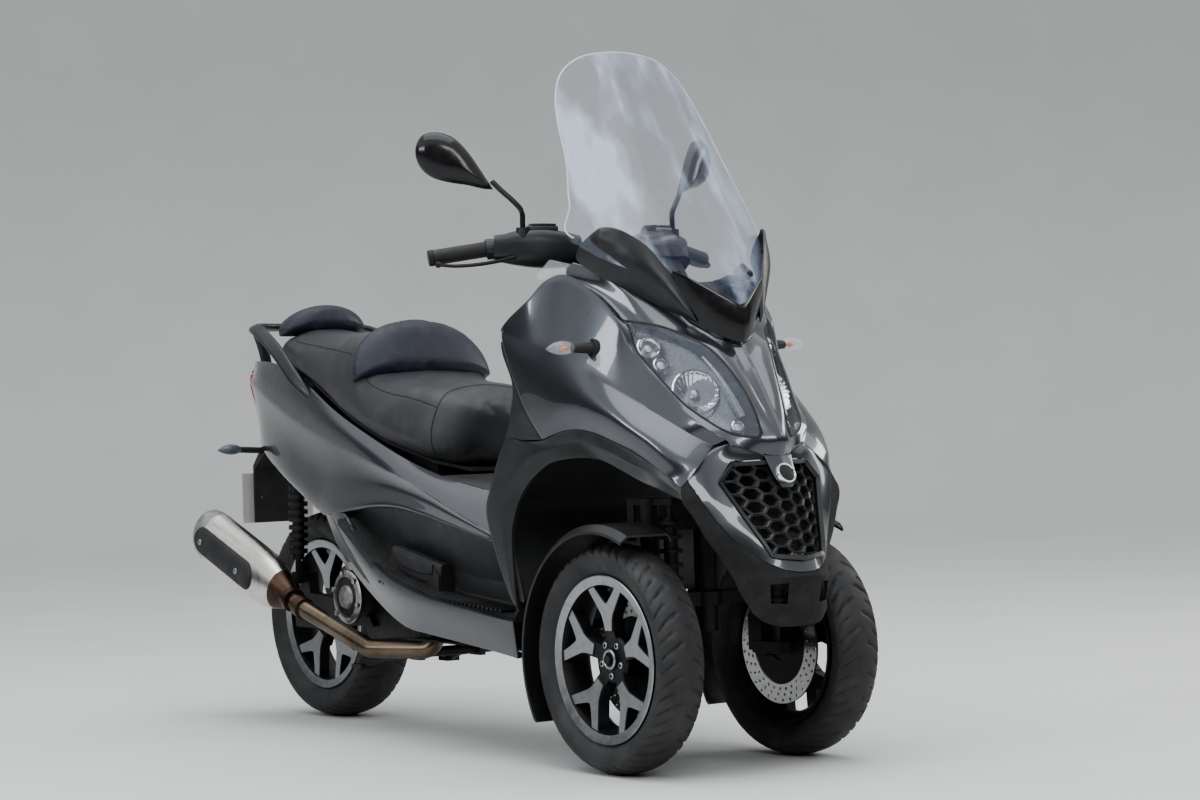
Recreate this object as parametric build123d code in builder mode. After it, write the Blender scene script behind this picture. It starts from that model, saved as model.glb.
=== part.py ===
# Three-wheel scooter with two tilting, steered front wheels, a tall screen and a long seat.
# The vehicle faces -Y, +X is its left and +Z is up.
# The origin lies on the ground under the middle of the vehicle's length and width.
# In the tables a y is measured rearward from the front axle, x outward from the middle plane
# and z up from the ground, all in millimetres.

from build123d import *
from math import asin, cos, degrees, hypot, radians, sin
import os

# Overall
overall_length = 2205.0
nose_overhang = 345.0
wheelbase = 1550.0
front_axle_y = nose_overhang - overall_length / 2

# Clearances
seat_gap = 0.3
running_fit = 0.05
panel_wall = 4.0

# Front wheels and tyres
front_track = 465.0
front_tyre_radius = 242.0
front_tyre_width = 110.0
front_rim_radius = 179.0
front_rim_width = 88.0
front_disc_radius = 129.0

# Rear wheel and tyre
rear_tyre_radius = 262.0
rear_tyre_width = 140.0
rear_rim_radius = 191.0
rear_rim_width = 106.0
rear_disc_radius = 120.0

# Wheel parts shared by all three
disc_thickness = 4.5
rim_lip = 7.0
hub_radius = 42.0
axle_radius = 10.0
spoke_count = 5
spoke_width = 30.0
spoke_branch_width = 15.0
spoke_depth = 26.0
spoke_fork_share = 0.42
spoke_spread = 19.0
cap_radius = 23.0
cap_ring = 4.0
cap_rise = 8.0
bolt_circle = 34.0
bolt_radius = 5.5
bolt_rise = 4.0
disc_hole_radius = 4.2
disc_hole_count = 24

# Front suspension
kingpin_x = 145.0
kingpin_radius = 13.0
kingpin_tube_radius = 20.0
kingpin_low_z = 325.0
kingpin_high_z = 560.0
arm_low_z = 355.0
arm_high_z = 520.0
arm_depth = 36.0
arm_height = 30.0
damper_radius = 24.0
damper_reach = 66.0

# Fenders over the front wheels
fender_radius = 284.0
fender_wall = 4.0
fender_width = 132.0
fender_lip = 20.0
fender_front_angle = 113.0
fender_rear_angle = -31.0

# Steering
column_foot_y = 60.0
column_foot_z = 560.0
column_top_y = 318.0
column_top_z = 1085.0
column_radius = 15.0
head_tube_radius = 25.0
bar_radius = 11.0
grip_radius = 16.5
grip_inner_x = 248.0
grip_outer_x = 372.0
grip_inner_y = 408.0
grip_outer_y = 470.0
grip_inner_z = 1126.0
grip_outer_z = 1107.0

# Windscreen
screen_wall = 3.0
screen_top_z = 1550.0

# Body stations that several pieces share
chin_line_z = 412.0
chin_bottom_z = 331.0
footwell_x = 190.0
board_thickness = 14.0


def station(y):
    """Upright plane across the vehicle: local x is X, local y is Z, facing forward."""
    return Plane(origin=(0, front_axle_y + y, 0), x_dir=(1, 0, 0), z_dir=(0, -1, 0))


def side(x):
    """Upright plane along the vehicle: local x is y from the front axle, local y is Z."""
    return Plane(origin=(x, front_axle_y, 0), x_dir=(0, 1, 0), z_dir=(1, 0, 0))


def level(z):
    """Level plane: local x is X, local y is y from the front axle."""
    return Plane(origin=(0, front_axle_y, z), x_dir=(1, 0, 0), z_dir=(0, 0, 1))


def point(x, y, z):
    """Point in the vehicle's frame from its y behind the front axle."""
    return Vector(x, front_axle_y + y, z)


def side_prism(outline, x_from, x_to):
    """Block with the given (y, z) outline, from one x to another."""
    with BuildPart(mode=Mode.PRIVATE) as block:
        with BuildSketch(side(x_from)):
            with BuildLine():
                Polyline(*outline, close=True)
            make_face()
        extrude(amount=x_to - x_from)
    return block.part


def front_prism(outline, y_from, y_to):
    """Block with the given (x, z) outline, from one y to another further back."""
    with BuildPart(mode=Mode.PRIVATE) as block:
        with BuildSketch(station(y_to)):
            with BuildLine():
                Polyline(*outline, close=True)
            make_face()
        extrude(amount=y_to - y_from)
    return block.part


def rod(start, end, radius):
    """Round bar between two points."""
    span = end - start
    with BuildPart(mode=Mode.PRIVATE) as body:
        with BuildSketch(Plane(origin=start, z_dir=span)):
            Circle(radius)
        extrude(amount=span.length)
    return body.part


def block(x, y, z, size_x, size_y, size_z):
    """Block with its middle at a point and its edges along the vehicle's axes."""
    with BuildPart(mode=Mode.PRIVATE) as body:
        with Locations(point(x, y, z)):
            Box(size_x, size_y, size_z)
    return body.part


def soft_block(x, y, z, size_x, size_y, size_z, axis, radius):
    """Block with its edges along one axis rounded."""
    with BuildPart(mode=Mode.PRIVATE) as body:
        with Locations(point(x, y, z)):
            Box(size_x, size_y, size_z)
        fillet(body.edges().filter_by(axis), radius)
    return body.part


def mirrored(outline):
    """Half outline in x, from the middle outward, closed by its mirror image."""
    return outline + [(-x, z) for x, z in reversed(outline) if x > 0]


# Front body: level sections, each a nose arc, two flank arcs and a straight back.
# Columns: z, nose y, cheek x, cheek y, flank x, flank y, back x
front_sections = [
    (230, -322, 96, -275, 236, 60, 278),
    (412, -345, 128, -272, 246, 40, 286),
    (602, -285, 205, -195, 258, 60, 287),
    (700, -268, 150, -182, 250, 40, 284),
    (850, -176, 178, -50, 262, 120, 281),
    (1000, -110, 192, 22, 246, 150, 262),
    (1060, -70, 190, 60, 228, 160, 232),
]
front_back_y = 430.0


def front_form(inset, back_y):
    """Solid front body, its walls moved in by an inset, out to a y at the back."""
    with BuildPart(mode=Mode.PRIVATE) as form:
        for z, nose_y, cheek_x, cheek_y, flank_x, flank_y, back_x in front_sections:
            cheek = (cheek_x - inset, cheek_y + inset)
            flank = (flank_x - inset, flank_y)
            back = (back_x - inset, back_y)
            with BuildSketch(level(z)):
                with BuildLine():
                    ThreePointArc((-cheek[0], cheek[1]), (0, nose_y + inset), cheek)
                    ThreePointArc(cheek, flank, back)
                    Line(back, (-back[0], back[1]))
                    ThreePointArc((-back[0], back[1]), (-flank[0], flank[1]), (-cheek[0], cheek[1]))
                make_face()
        loft(ruled=True)
    return form.part


# Side outline of the front body, (y, z): top edge, the leg shield's rear edge and the sill
front_outline = [
    (-420, 940), (-123, 976), (8, 1006), (67, 1043), (150, 1062), (234, 1046), (268, 1001),
    (327, 963), (336, 946), (328, 899), (280, 817), (329, 701), (396, 596), (415, 543),
    (377, 450), (329, 364), (329, 227), (-420, 227),
]
# Wheel arch opening, (y, z), from the chin's rear edge over the wheel to the leg shield
arch_opening = [
    (-262, 200), (-262, 331), (-232, 470), (-203, 575), (-100, 614), (4, 657), (91, 664),
    (181, 652), (271, 597), (316, 498), (310, 400), (303, 338), (303, 200),
]
# Outer edge of the arch trim and of the leg shield's flank, (y, z)
trim_edge = [(-203, 575), (-193, 602), (-89, 664), (15, 707), (98, 723), (203, 703), (314, 882), (336, 946)]
# Seam of the nose cowl seen from the front, (x, z), from the beak round the headlamp and up
cowl_seam = [(0, 655), (45, 672), (105, 690), (156, 745), (180, 805), (204, 885), (212, 955), (240, 1080)]
# Headlamp outline seen from the front, (x, z)
lamp_outline = [
    (32, 706), (36, 697), (97, 712), (138, 755), (164, 813), (188, 888), (192, 949),
    (130, 930), (85, 893), (60, 847), (42, 779),
]


# Zones that share the front shell out between its panels
body_x = 330.0
grille_outline = [(0, 647), (94, 645), (127, 610), (68, 459), (0, 442)]
garnish_outline = [(0, 889), (48, 902), (84, 938), (108, 980), (60, 1030), (0, 1030)]
garnish_top_z = 966.0
chin_recess_x = (38.0, 72.0)
chin_recess_z = (352.0, 390.0)

surround_width = 5.0
grille_face = Polygon(*mirrored(grille_outline), align=None)
grille_opening = offset(grille_face, surround_width, kind=Kind.INTERSECTION)


def nose_prism(face):
    """Block with the outline of a face in (x, z), through the nose."""
    return extrude(station(-150) * face, amount=270, dir=(0, -1, 0))


front_shell = front_form(0, front_back_y) - front_form(panel_wall, front_back_y + 20)
front_shell = front_shell & side_prism(front_outline, -body_x, body_x)
front_shell = front_shell - side_prism(arch_opening, -body_x, body_x)
cowl_zone = front_prism(mirrored(cowl_seam + [(0, 1080)]), -420, 190)
carrier_zone = side_prism([(-420, 200), (-420, 760), (-190, 760), (-190, 585), (-203, 575), (-262, 200)], -body_x, body_x)
chin_zone = side_prism([(-420, chin_bottom_z), (-420, chin_line_z), (-200, chin_line_z), (-200, chin_bottom_z)], -body_x, body_x)
below_chin = side_prism([(-420, 200), (-420, chin_bottom_z), (-200, chin_bottom_z), (-200, 200)], -body_x, body_x)
trim_zone = side_prism(trim_edge + [(450, 946), (450, 200), (-262, 200), (-262, 331), (-232, 470)], -body_x, body_x)
lamp_zones = [front_prism([(s * x, z) for x, z in lamp_outline], -420, 60) for s in (1, -1)]
grille_zone = nose_prism(grille_opening)
garnish_zone = front_prism(mirrored(garnish_outline), -420, 60)
upper_shell = front_shell & cowl_zone
lower_shell = (front_shell - cowl_zone) & carrier_zone
flank_shell = front_shell - cowl_zone - carrier_zone

with BuildPart() as nose_cowl:
    add(upper_shell)
    add(lamp_zones, mode=Mode.SUBTRACT)
    add(garnish_zone, mode=Mode.SUBTRACT)

with BuildPart() as headlamp_lenses:
    add(upper_shell & lamp_zones[0])
    add(upper_shell & lamp_zones[1])

with BuildPart() as front_panels:
    add(flank_shell - trim_zone)

with BuildPart() as arch_trims:
    add(flank_shell & trim_zone)

with BuildPart() as grille_carrier:
    add(lower_shell - chin_zone - below_chin - grille_zone)

with BuildPart() as chin:
    add(lower_shell & chin_zone)
    for s in (1, -1):
        with BuildSketch(station(0)):
            with Locations((s * sum(chin_recess_x) / 2, sum(chin_recess_z) / 2)):
                Rectangle(chin_recess_x[1] - chin_recess_x[0], chin_recess_z[1] - chin_recess_z[0])
        extrude(amount=420, mode=Mode.SUBTRACT)

# Headlamps: a tray behind each lens with a round bowl
tray_inset = 4.3
tray_depth = 30.0
bowl_radius = 44.0
bowl_wall = 3.0
bowl_x = 116.0
bowl_z = 800.0
lamp_core = [(110 + (x - 110) * 0.86, 830 + (z - 830) * 0.9) for x, z in lamp_outline]
tray_sheet = front_form(tray_inset, front_back_y) - front_form(tray_depth + 6, front_back_y + 20)
tray_space = front_form(0, front_back_y) - front_form(tray_depth, front_back_y + 20)

with BuildPart() as headlamp_reflectors:
    for s, zone in zip((1, -1), lamp_zones):
        core = front_prism([(s * x, z) for x, z in lamp_core], -420, 60)
        add((tray_sheet & zone) - (tray_space & core))
        bowl = rod(point(s * bowl_x, -420, bowl_z), point(s * bowl_x, 60, bowl_z), bowl_radius)
        bowl = bowl - rod(point(s * bowl_x, -420, bowl_z), point(s * bowl_x, 60, bowl_z), bowl_radius - bowl_wall)
        add(bowl & tray_sheet & core)

# Honeycomb grille in its bevelled surround
grille_inset = panel_wall + seat_gap
grille_flange = [(0, 658), (104, 656), (140, 612), (76, 448), (0, 430)]
grille_field = [(0, 640), (88, 638), (120, 608), (64, 465), (0, 449)]
grille_depth = 12.0
surround_wall = 3.0
surround_proud = 4.0
badge_proud = 3.0
cell_width = 34.0
cell_height = 25.0
cell_wall = 3.0
badge_radius = 20.0
badge_z = 621.0

cell_half_x = (cell_width - cell_wall) / 2
cell_half_z = (cell_height - cell_wall) / 2
cell_outline = [
    (0, cell_half_z), (cell_half_x, cell_half_z / 2), (cell_half_x, -cell_half_z / 2), (0, -cell_half_z),
    (-cell_half_x, -cell_half_z / 2), (-cell_half_x, cell_half_z / 2),
]

surround_rim = offset(grille_face, surround_width - seat_gap, kind=Kind.INTERSECTION)
surround_mouth = offset(grille_face, -surround_wall, kind=Kind.INTERSECTION)
surround = nose_prism(surround_rim) - nose_prism(surround_mouth)

with BuildPart() as grille:
    add((front_form(grille_inset, 400) - front_form(grille_inset + grille_depth, 420)) & front_prism(mirrored(grille_flange), -420, -150))
    with BuildSketch(station(0)):
        for shift, row in ((0, 0), (0.5, 1)):
            with Locations((shift * cell_width, 545 + row * cell_height * 0.75)):
                with GridLocations(cell_width, cell_height * 1.5, 10, 8):
                    Polygon(*cell_outline, align=None)
        Polygon(*mirrored(grille_field), align=None, mode=Mode.INTERSECT)
    extrude(amount=420, mode=Mode.SUBTRACT)
    add(surround & (front_form(-surround_proud, 400) - front_form(grille_inset + 1, 420)))
    badge = rod(point(0, -420, badge_z), point(0, -150, badge_z), badge_radius)
    add(badge & (front_form(-badge_proud, 400) - front_form(grille_inset + 1, 420)))


# Windscreen: a bent sheet, its plan arc carried up along one straight slope
screen_arc_radius = 336.0
screen_slope = 0.66
screen_foot_y = -123.0
screen_foot_z = 976.0
screen_low_z = 940.0
screen_outline = [
    (0, 972), (60, 986), (150, 1032), (225, 1082), (258, 1120), (259, 1149), (240, 1193), (232, 1227),
    (219, 1276), (210, 1318), (204, 1363), (190, 1428), (170, 1478), (140, 1514), (90, 1540), (0, screen_top_z),
]
wing_gap = seat_gap
wing_wall = 6.0
wing_outline = [
    (86, 938), (110, 1010), (150, 1083), (188, 1142), (215, 1156), (234, 1130), (238, 1090), (210, 1043),
    (168, 1004), (118, 958),
]


def screen_sheet(gap, wall, outline):
    """Sheet in front of the screen's face by a gap, cut to an (x, z) outline."""
    foot_y = screen_foot_y - screen_slope * (screen_foot_z - screen_low_z)
    rise = screen_top_z + 40 - screen_low_z
    with BuildPart(mode=Mode.PRIVATE) as sheet:
        with BuildSketch(level(screen_low_z)):
            with Locations((0, foot_y + screen_arc_radius)):
                Circle(screen_arc_radius + gap + wall)
                Circle(screen_arc_radius + gap, mode=Mode.SUBTRACT)
            with Locations((0, foot_y + screen_arc_radius + 60)):
                Rectangle(900, 500, align=(Align.CENTER, Align.MIN), mode=Mode.SUBTRACT)
        extrude(amount=rise * hypot(1, screen_slope), dir=(0, screen_slope, 1))
    return sheet.part & front_prism(outline, -300, 600)


def screen_core(gap):
    """Space behind the screen's face by a gap."""
    foot_y = screen_foot_y - screen_slope * (screen_foot_z - screen_low_z)
    rise = screen_top_z + 40 - screen_low_z
    with BuildPart(mode=Mode.PRIVATE) as core:
        with BuildSketch(level(screen_low_z)):
            with Locations((0, foot_y + screen_arc_radius)):
                Circle(screen_arc_radius - gap)
        extrude(amount=rise * hypot(1, screen_slope), dir=(0, screen_slope, 1))
    return core.part


with BuildPart() as windscreen:
    add(screen_sheet(-screen_wall, screen_wall, mirrored(screen_outline)))

with BuildPart() as deflectors:
    for s in (1, -1):
        add(screen_sheet(wing_gap, wing_wall, [(s * x, z) for x, z in wing_outline]))
    add(upper_shell & garnish_zone & block(0, -100, garnish_top_z - 60, 220, 200, 120))

column_foot = point(0, column_foot_y, column_foot_z)
column_top = point(0, column_top_y, column_top_z)
column_way = (column_top - column_foot).normalized()

# Leg shield's inner moulding, from the wheel arch's back wall to the edge the rider sees
shield_gap = panel_wall + seat_gap
shield_outline = [
    (316, 352), (345, 450), (385, 543), (366, 596), (299, 701), (250, 817), (298, 899), (306, 940),
    (297, 963), (238, 1001), (204, 1032), (120, 1036), (60, 1010), (70, 985), (180, 985), (240, 930),
    (250, 880), (200, 817), (262, 690), (325, 590), (330, 543), (316, 460),
]
dial_y = 215.0
dial_z = 1092.0
dial_tilt = 38.5
dial_width = 230.0
dial_length = 96.0
dial_corner = 30.0
dial_depth = 34.0
pedestal_x = 90.0
pedestal_half = 40.0
pedestal_foot_z = 1005.0
dial_way = (sin(radians(dial_tilt)), cos(radians(dial_tilt)))
dial_plane = Plane(origin=point(0, dial_y, dial_z), x_dir=(1, 0, 0), z_dir=(0, *dial_way))
seat_y = dial_y - dial_way[0] * (dial_depth + seat_gap)
seat_z = dial_z - dial_way[1] * (dial_depth + seat_gap)
pedestal = [
    (seat_y - dial_way[1] * pedestal_half, seat_z + dial_way[0] * pedestal_half),
    (seat_y + dial_way[1] * pedestal_half, seat_z - dial_way[0] * pedestal_half),
    (seat_y + dial_way[1] * pedestal_half, pedestal_foot_z),
    (seat_y - dial_way[1] * pedestal_half, pedestal_foot_z),
]
stay_x = 96.0
stay_radius = 9.0
stay_foot = (100.0, 1020.0)
stay_tip = (-90.0, 1046.0)
stay_rods = Compound([rod(point(s * stay_x, *stay_foot), point(s * stay_x, *stay_tip), stay_radius) for s in (1, -1)])
shield_boss = ((130.0, 740.0), (258.0, 740.0))
shield_boss_radius = 12.0

with BuildPart() as leg_shield:
    add(front_form(shield_gap, front_back_y) & side_prism(shield_outline, -body_x, body_x))
    add(side_prism(pedestal, -pedestal_x, pedestal_x))
    add(stay_rods & screen_core(screen_wall + seat_gap))
    add(rod(column_foot, column_top, column_radius * 2), mode=Mode.SUBTRACT)
    add(rod(point(0, *shield_boss[0]), point(0, *shield_boss[1]), shield_boss_radius + seat_gap), mode=Mode.SUBTRACT)

# Instruments on their pedestal behind the screen
with BuildPart() as instruments:
    with BuildSketch(dial_plane):
        RectangleRounded(dial_width, dial_length, dial_corner)
    extrude(amount=-dial_depth)

# Rear body: upright sections across the vehicle, bowed out above the crease and hollow below it.
# Columns: y, top x, top z, crease x, crease z, low x, low z
shoulder_bow = 6.0
flank_bow = -3.0
rear_sections = [
    (400, 120, 590, 256, 492, 240, 474),
    (776, 138, 626, 240, 598, 236, 530),
    (1050, 198, 712, 218, 664, 234, 540),
    (1376, 168, 842, 184, 742, 192, 548),
    (1600, 136, 905, 154, 800, 150, 634),
    (1835, 72, 905, 86, 862, 62, 735),
]
tub_x = 125.0
tub_y = (860.0, 1420.0)
tub_floor_z = 560.0
tub_wall = 3.0
rail_radius = 14.0
rail_x = tub_x + rail_radius
rail_z = 276.0


def bowed(start, end, bow):
    """Middle point of an arc between two section points, moved sideways by a bow."""
    span_x = end[0] - start[0]
    span_z = end[1] - start[1]
    length = hypot(span_x, span_z)
    return ((start[0] + end[0]) / 2 - span_z / length * bow, (start[1] + end[1]) / 2 + span_x / length * bow)


def rear_form(inset, drop):
    """Solid rear body, its walls moved in by an inset and its underside lowered by a drop."""
    with BuildPart(mode=Mode.PRIVATE) as form:
        for y, top_x, top_z, crease_x, crease_z, low_x, low_z in rear_sections:
            top = (top_x - inset / 2, top_z - inset)
            crease = (crease_x - inset, crease_z)
            low = (low_x - inset, low_z - drop)
            with BuildSketch(station(y)):
                with BuildLine() as half:
                    Line((0, top[1]), top)
                    ThreePointArc(top, bowed(top, crease, shoulder_bow), crease)
                    ThreePointArc(crease, bowed(crease, low, flank_bow), low)
                    Line(low, (0, low[1]))
                    mirror(half.line, about=Plane.YZ)
                make_face()
        loft(ruled=True)
    return form.part


tail_lamp_zone = front_prism([(-110, 800), (110, 800), (110, 880), (-110, 880)], 1780, 1900)
tub_mouth = [(-tub_x, tub_y[0]), (tub_x, tub_y[0]), (tub_x, tub_y[1]), (-tub_x, tub_y[1])]

with BuildPart() as rear_body:
    add(rear_form(0, 0) - rear_form(panel_wall, 20))
    with BuildSketch(level(500)):
        with BuildLine():
            Polyline(*tub_mouth, close=True)
        make_face()
    extrude(amount=500, mode=Mode.SUBTRACT)
    add(tail_lamp_zone, mode=Mode.SUBTRACT)

with BuildPart() as tail_lamp:
    add((rear_form(0, 0) - rear_form(panel_wall, 20)) & tail_lamp_zone)

# Storage tub under the seat, open at the top, its rim along the seat line
tub_profile = [(860, 560), (1180, 560), (1420, 690), (1420, 852), (1376, 840), (1050, 710), (860, 650)]
with BuildPart() as storage_tub:
    add(side_prism(tub_profile, -tub_x + seat_gap, tub_x - seat_gap))
    inner = [(860 + tub_wall, 560 + tub_wall), (1180, 560 + tub_wall), (1420 - tub_wall, 690 + tub_wall),
             (1420 - tub_wall, 950), (860 + tub_wall, 950)]
    add(side_prism(inner, -tub_x + tub_wall, tub_x - tub_wall), mode=Mode.SUBTRACT)

# Seat: upright sections, each a flat bottom, two bulged sides and a crowned top.
# Columns: y, low x, bulge x, bulge z, shoulder x, shoulder z, crown z
seat_sections = [
    (778, 88, 110, 728, 92, 772, 790),
    (850, 150, 174, 704, 146, 800, 828),
    (1000, 184, 198, 748, 166, 818, 844),
    (1098, 186, 199, 780, 168, 842, 862),
    (1150, 186, 195, 806, 168, 922, 972),
    (1220, 180, 188, 840, 156, 936, 968),
    (1376, 160, 168, 894, 138, 944, 966),
    (1540, 132, 140, 932, 112, 962, 982),
    (1600, 112, 118, 944, 96, 968, 988),
]
base_wall = 8.0
base_inset = 5.0


def rear_top(y):
    """Height of the rear body's top at a y."""
    for front, back in zip(rear_sections, rear_sections[1:]):
        if front[0] <= y <= back[0]:
            return front[2] + (back[2] - front[2]) * (y - front[0]) / (back[0] - front[0])


with BuildPart() as seat_cushion:
    for y, low_x, bulge_x, bulge_z, shoulder_x, shoulder_z, crown_z in seat_sections:
        low_z = rear_top(y) + base_wall + 2 * seat_gap
        with BuildSketch(station(y)):
            with BuildLine():
                Line((-low_x, low_z), (low_x, low_z))
                ThreePointArc((low_x, low_z), (bulge_x, bulge_z), (shoulder_x, shoulder_z))
                ThreePointArc((shoulder_x, shoulder_z), (0, crown_z), (-shoulder_x, shoulder_z))
                ThreePointArc((-shoulder_x, shoulder_z), (-bulge_x, bulge_z), (-low_x, low_z))
            make_face()
    loft(ruled=True)

with BuildPart() as seat_base:
    for y, low_x, *_ in seat_sections:
        with BuildSketch(station(y)):
            with Locations((0, rear_top(y) + seat_gap + base_wall / 2)):
                Rectangle(2 * (low_x - base_inset), base_wall)
    loft(ruled=True)


def pad(y, z, tilt, half_x, height, thickness, edge):
    """Half-moon pad standing on its straight edge, leaning back by a tilt, its face edge rounded off."""
    lean = radians(tilt)
    face = Plane(origin=point(0, y, z), x_dir=(1, 0, 0), z_dir=(0, -cos(lean), sin(lean)))
    with BuildPart(mode=Mode.PRIVATE) as body:
        with BuildSketch(face):
            with BuildLine():
                Line((-half_x, 0), (half_x, 0))
                ThreePointArc((half_x, 0), (half_x * 0.78, height * 0.66), (0, height))
                ThreePointArc((0, height), (-half_x * 0.78, height * 0.66), (-half_x, 0))
            make_face()
        extrude(amount=thickness)
        chamfer(body.faces().sort_by(Axis(face.origin, face.z_dir))[-1].edges(), edge)
    return body.part


# Bolsters: one on the step's slope, one across the crown's rear end
step_low = (seat_sections[3][0], seat_sections[3][6])
step_high = (seat_sections[4][0], seat_sections[4][6])
step_length = hypot(step_high[0] - step_low[0], step_high[1] - step_low[1])
step_way = ((step_high[0] - step_low[0]) / step_length, (step_high[1] - step_low[1]) / step_length)
step_tilt = degrees(asin(step_way[0]))
bolster_rise = 3.0
bolster_y = step_low[0] + step_way[0] * bolster_rise - step_way[1] * seat_gap
bolster_z = step_low[1] + step_way[1] * bolster_rise + step_way[0] * seat_gap
bolster_half = (190.0, 118.0)
bolster_height = (146.0, 64.0)
bolster_depth = (24.0, 34.0)
bolster_edge = 12.0
end_y = 1572.0
end_tilt = 14.0
end_share = (end_y - seat_sections[7][0]) / (seat_sections[8][0] - seat_sections[7][0])
end_z = seat_sections[7][6] + (seat_sections[8][6] - seat_sections[7][6]) * end_share
with BuildPart() as seat_bolsters:
    add(pad(bolster_y, bolster_z, step_tilt, bolster_half[0], bolster_height[0], bolster_depth[0], bolster_edge))
    add(pad(end_y, end_z + seat_gap, end_tilt, bolster_half[1], bolster_height[1], bolster_depth[1], bolster_edge))


# Floor: tunnel between the riders' feet, a board at each side and the sills below
tunnel_profile = [
    (330, 300), (700, 300), (930, 330), (990, 480), (990, 545), (776, 540), (388, 500), (365, 489), (348, 450), (330, 392),
]
board_line = [(318, 352), (345, 318), (667, 349), (922, 411), (1090, 520)]
board_inner_x = footwell_x + seat_gap
board_outer_x = 268.0
sill_outline = [
    (330, 330), (345, 322), (667, 352), (922, 414), (1094, 524), (1224, 524), (1130, 430), (960, 330),
    (821, 276), (700, 262), (558, 258), (330, 230),
]
sill_wall = 12.0
belly_profile = [(352, 232), (900, 235), (900, 240), (352, 237)]
shell_wall = 6.0

with BuildPart() as floor_tunnel:
    add(side_prism(tunnel_profile, -footwell_x, footwell_x))
    hollow = [(336, 290), (700, 290), (984, 290), (984, 539), (776, 534), (391, 494), (370, 484), (354, 450), (336, 392)]
    add(side_prism(hollow, shell_wall - footwell_x, footwell_x - shell_wall), mode=Mode.SUBTRACT)

board_ribs = [(212 + 11 * k) for k in range(5)]
rib_width = 5.0
rib_height = 2.5
peg_outline = [(700, 352), (700, 392), (720, 412), (880, 438), (905, 436), (918, 424), (918, 406), (760, 362)]
peg_width = 44.0

with BuildPart() as footboards:
    for s in (1, -1):
        low = [(y, z - board_thickness) for y, z in reversed(board_line)]
        ribs = [(y, z + rib_height) for y, z in board_line]
        add(side_prism(board_line + low, *sorted((s * board_inner_x, s * board_outer_x))))
        for x in board_ribs:
            add(side_prism(ribs + low, *sorted((s * x, s * (x + rib_width)))))
        add(side_prism(peg_outline, *sorted((s * board_inner_x, s * (board_inner_x + peg_width)))))

with BuildPart() as sills:
    for s in (1, -1):
        x_from, x_to = sorted((s * (board_outer_x + seat_gap), s * (board_outer_x + seat_gap + sill_wall)))
        add(side_prism(sill_outline, x_from, x_to))

with BuildPart() as belly_pan:
    add(side_prism(belly_profile, -footwell_x, footwell_x))
    for s in (1, -1):
        for y in (400, 850):
            add(rod(point(s * rail_x, y, 237), point(s * rail_x, y, rail_z - rail_radius - seat_gap), 9))


def wheel_centre(x, y, z):
    """Upright plane through a wheel's middle, its normal out to +X."""
    return Plane(origin=point(x, y, z), x_dir=(0, 1, 0), z_dir=(1, 0, 0))


def turned(x, y, z, profile):
    """Ring or disc about a wheel's axle, from an (x offset, radius) profile."""
    with BuildPart(mode=Mode.PRIVATE) as body:
        with BuildSketch(Plane(origin=point(x, y, z), x_dir=(1, 0, 0), z_dir=(0, -1, 0))):
            with BuildLine():
                Polyline(*profile, close=True)
            make_face()
        revolve(axis=Axis(point(x, y, z), (1, 0, 0)))
    return body.part


def tyre(x, y, radius, width, rim_radius, rim_width):
    """Round tyre seated on its rim's shoulders."""
    half = width / 2
    foot = rim_width / 2 - rim_lip - seat_gap
    flank = (radius + rim_radius) / 2
    bead = rim_radius - rim_lip + seat_gap
    shoulder = rim_radius + seat_gap
    with BuildPart(mode=Mode.PRIVATE) as body:
        with BuildSketch(Plane(origin=point(x, y, radius), x_dir=(1, 0, 0), z_dir=(0, -1, 0))):
            with BuildLine():
                Polyline((-foot, shoulder), (-foot, bead), (foot, bead), (foot, shoulder))
                ThreePointArc((foot, shoulder), (half - 3, (shoulder + flank) / 2), (half, flank))
                ThreePointArc((half, flank), (0, radius), (-half, flank))
                ThreePointArc((-half, flank), (-half + 3, (shoulder + flank) / 2), (-foot, shoulder))
            make_face()
        revolve(axis=Axis(point(x, y, radius), (1, 0, 0)))
    return body.part


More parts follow.
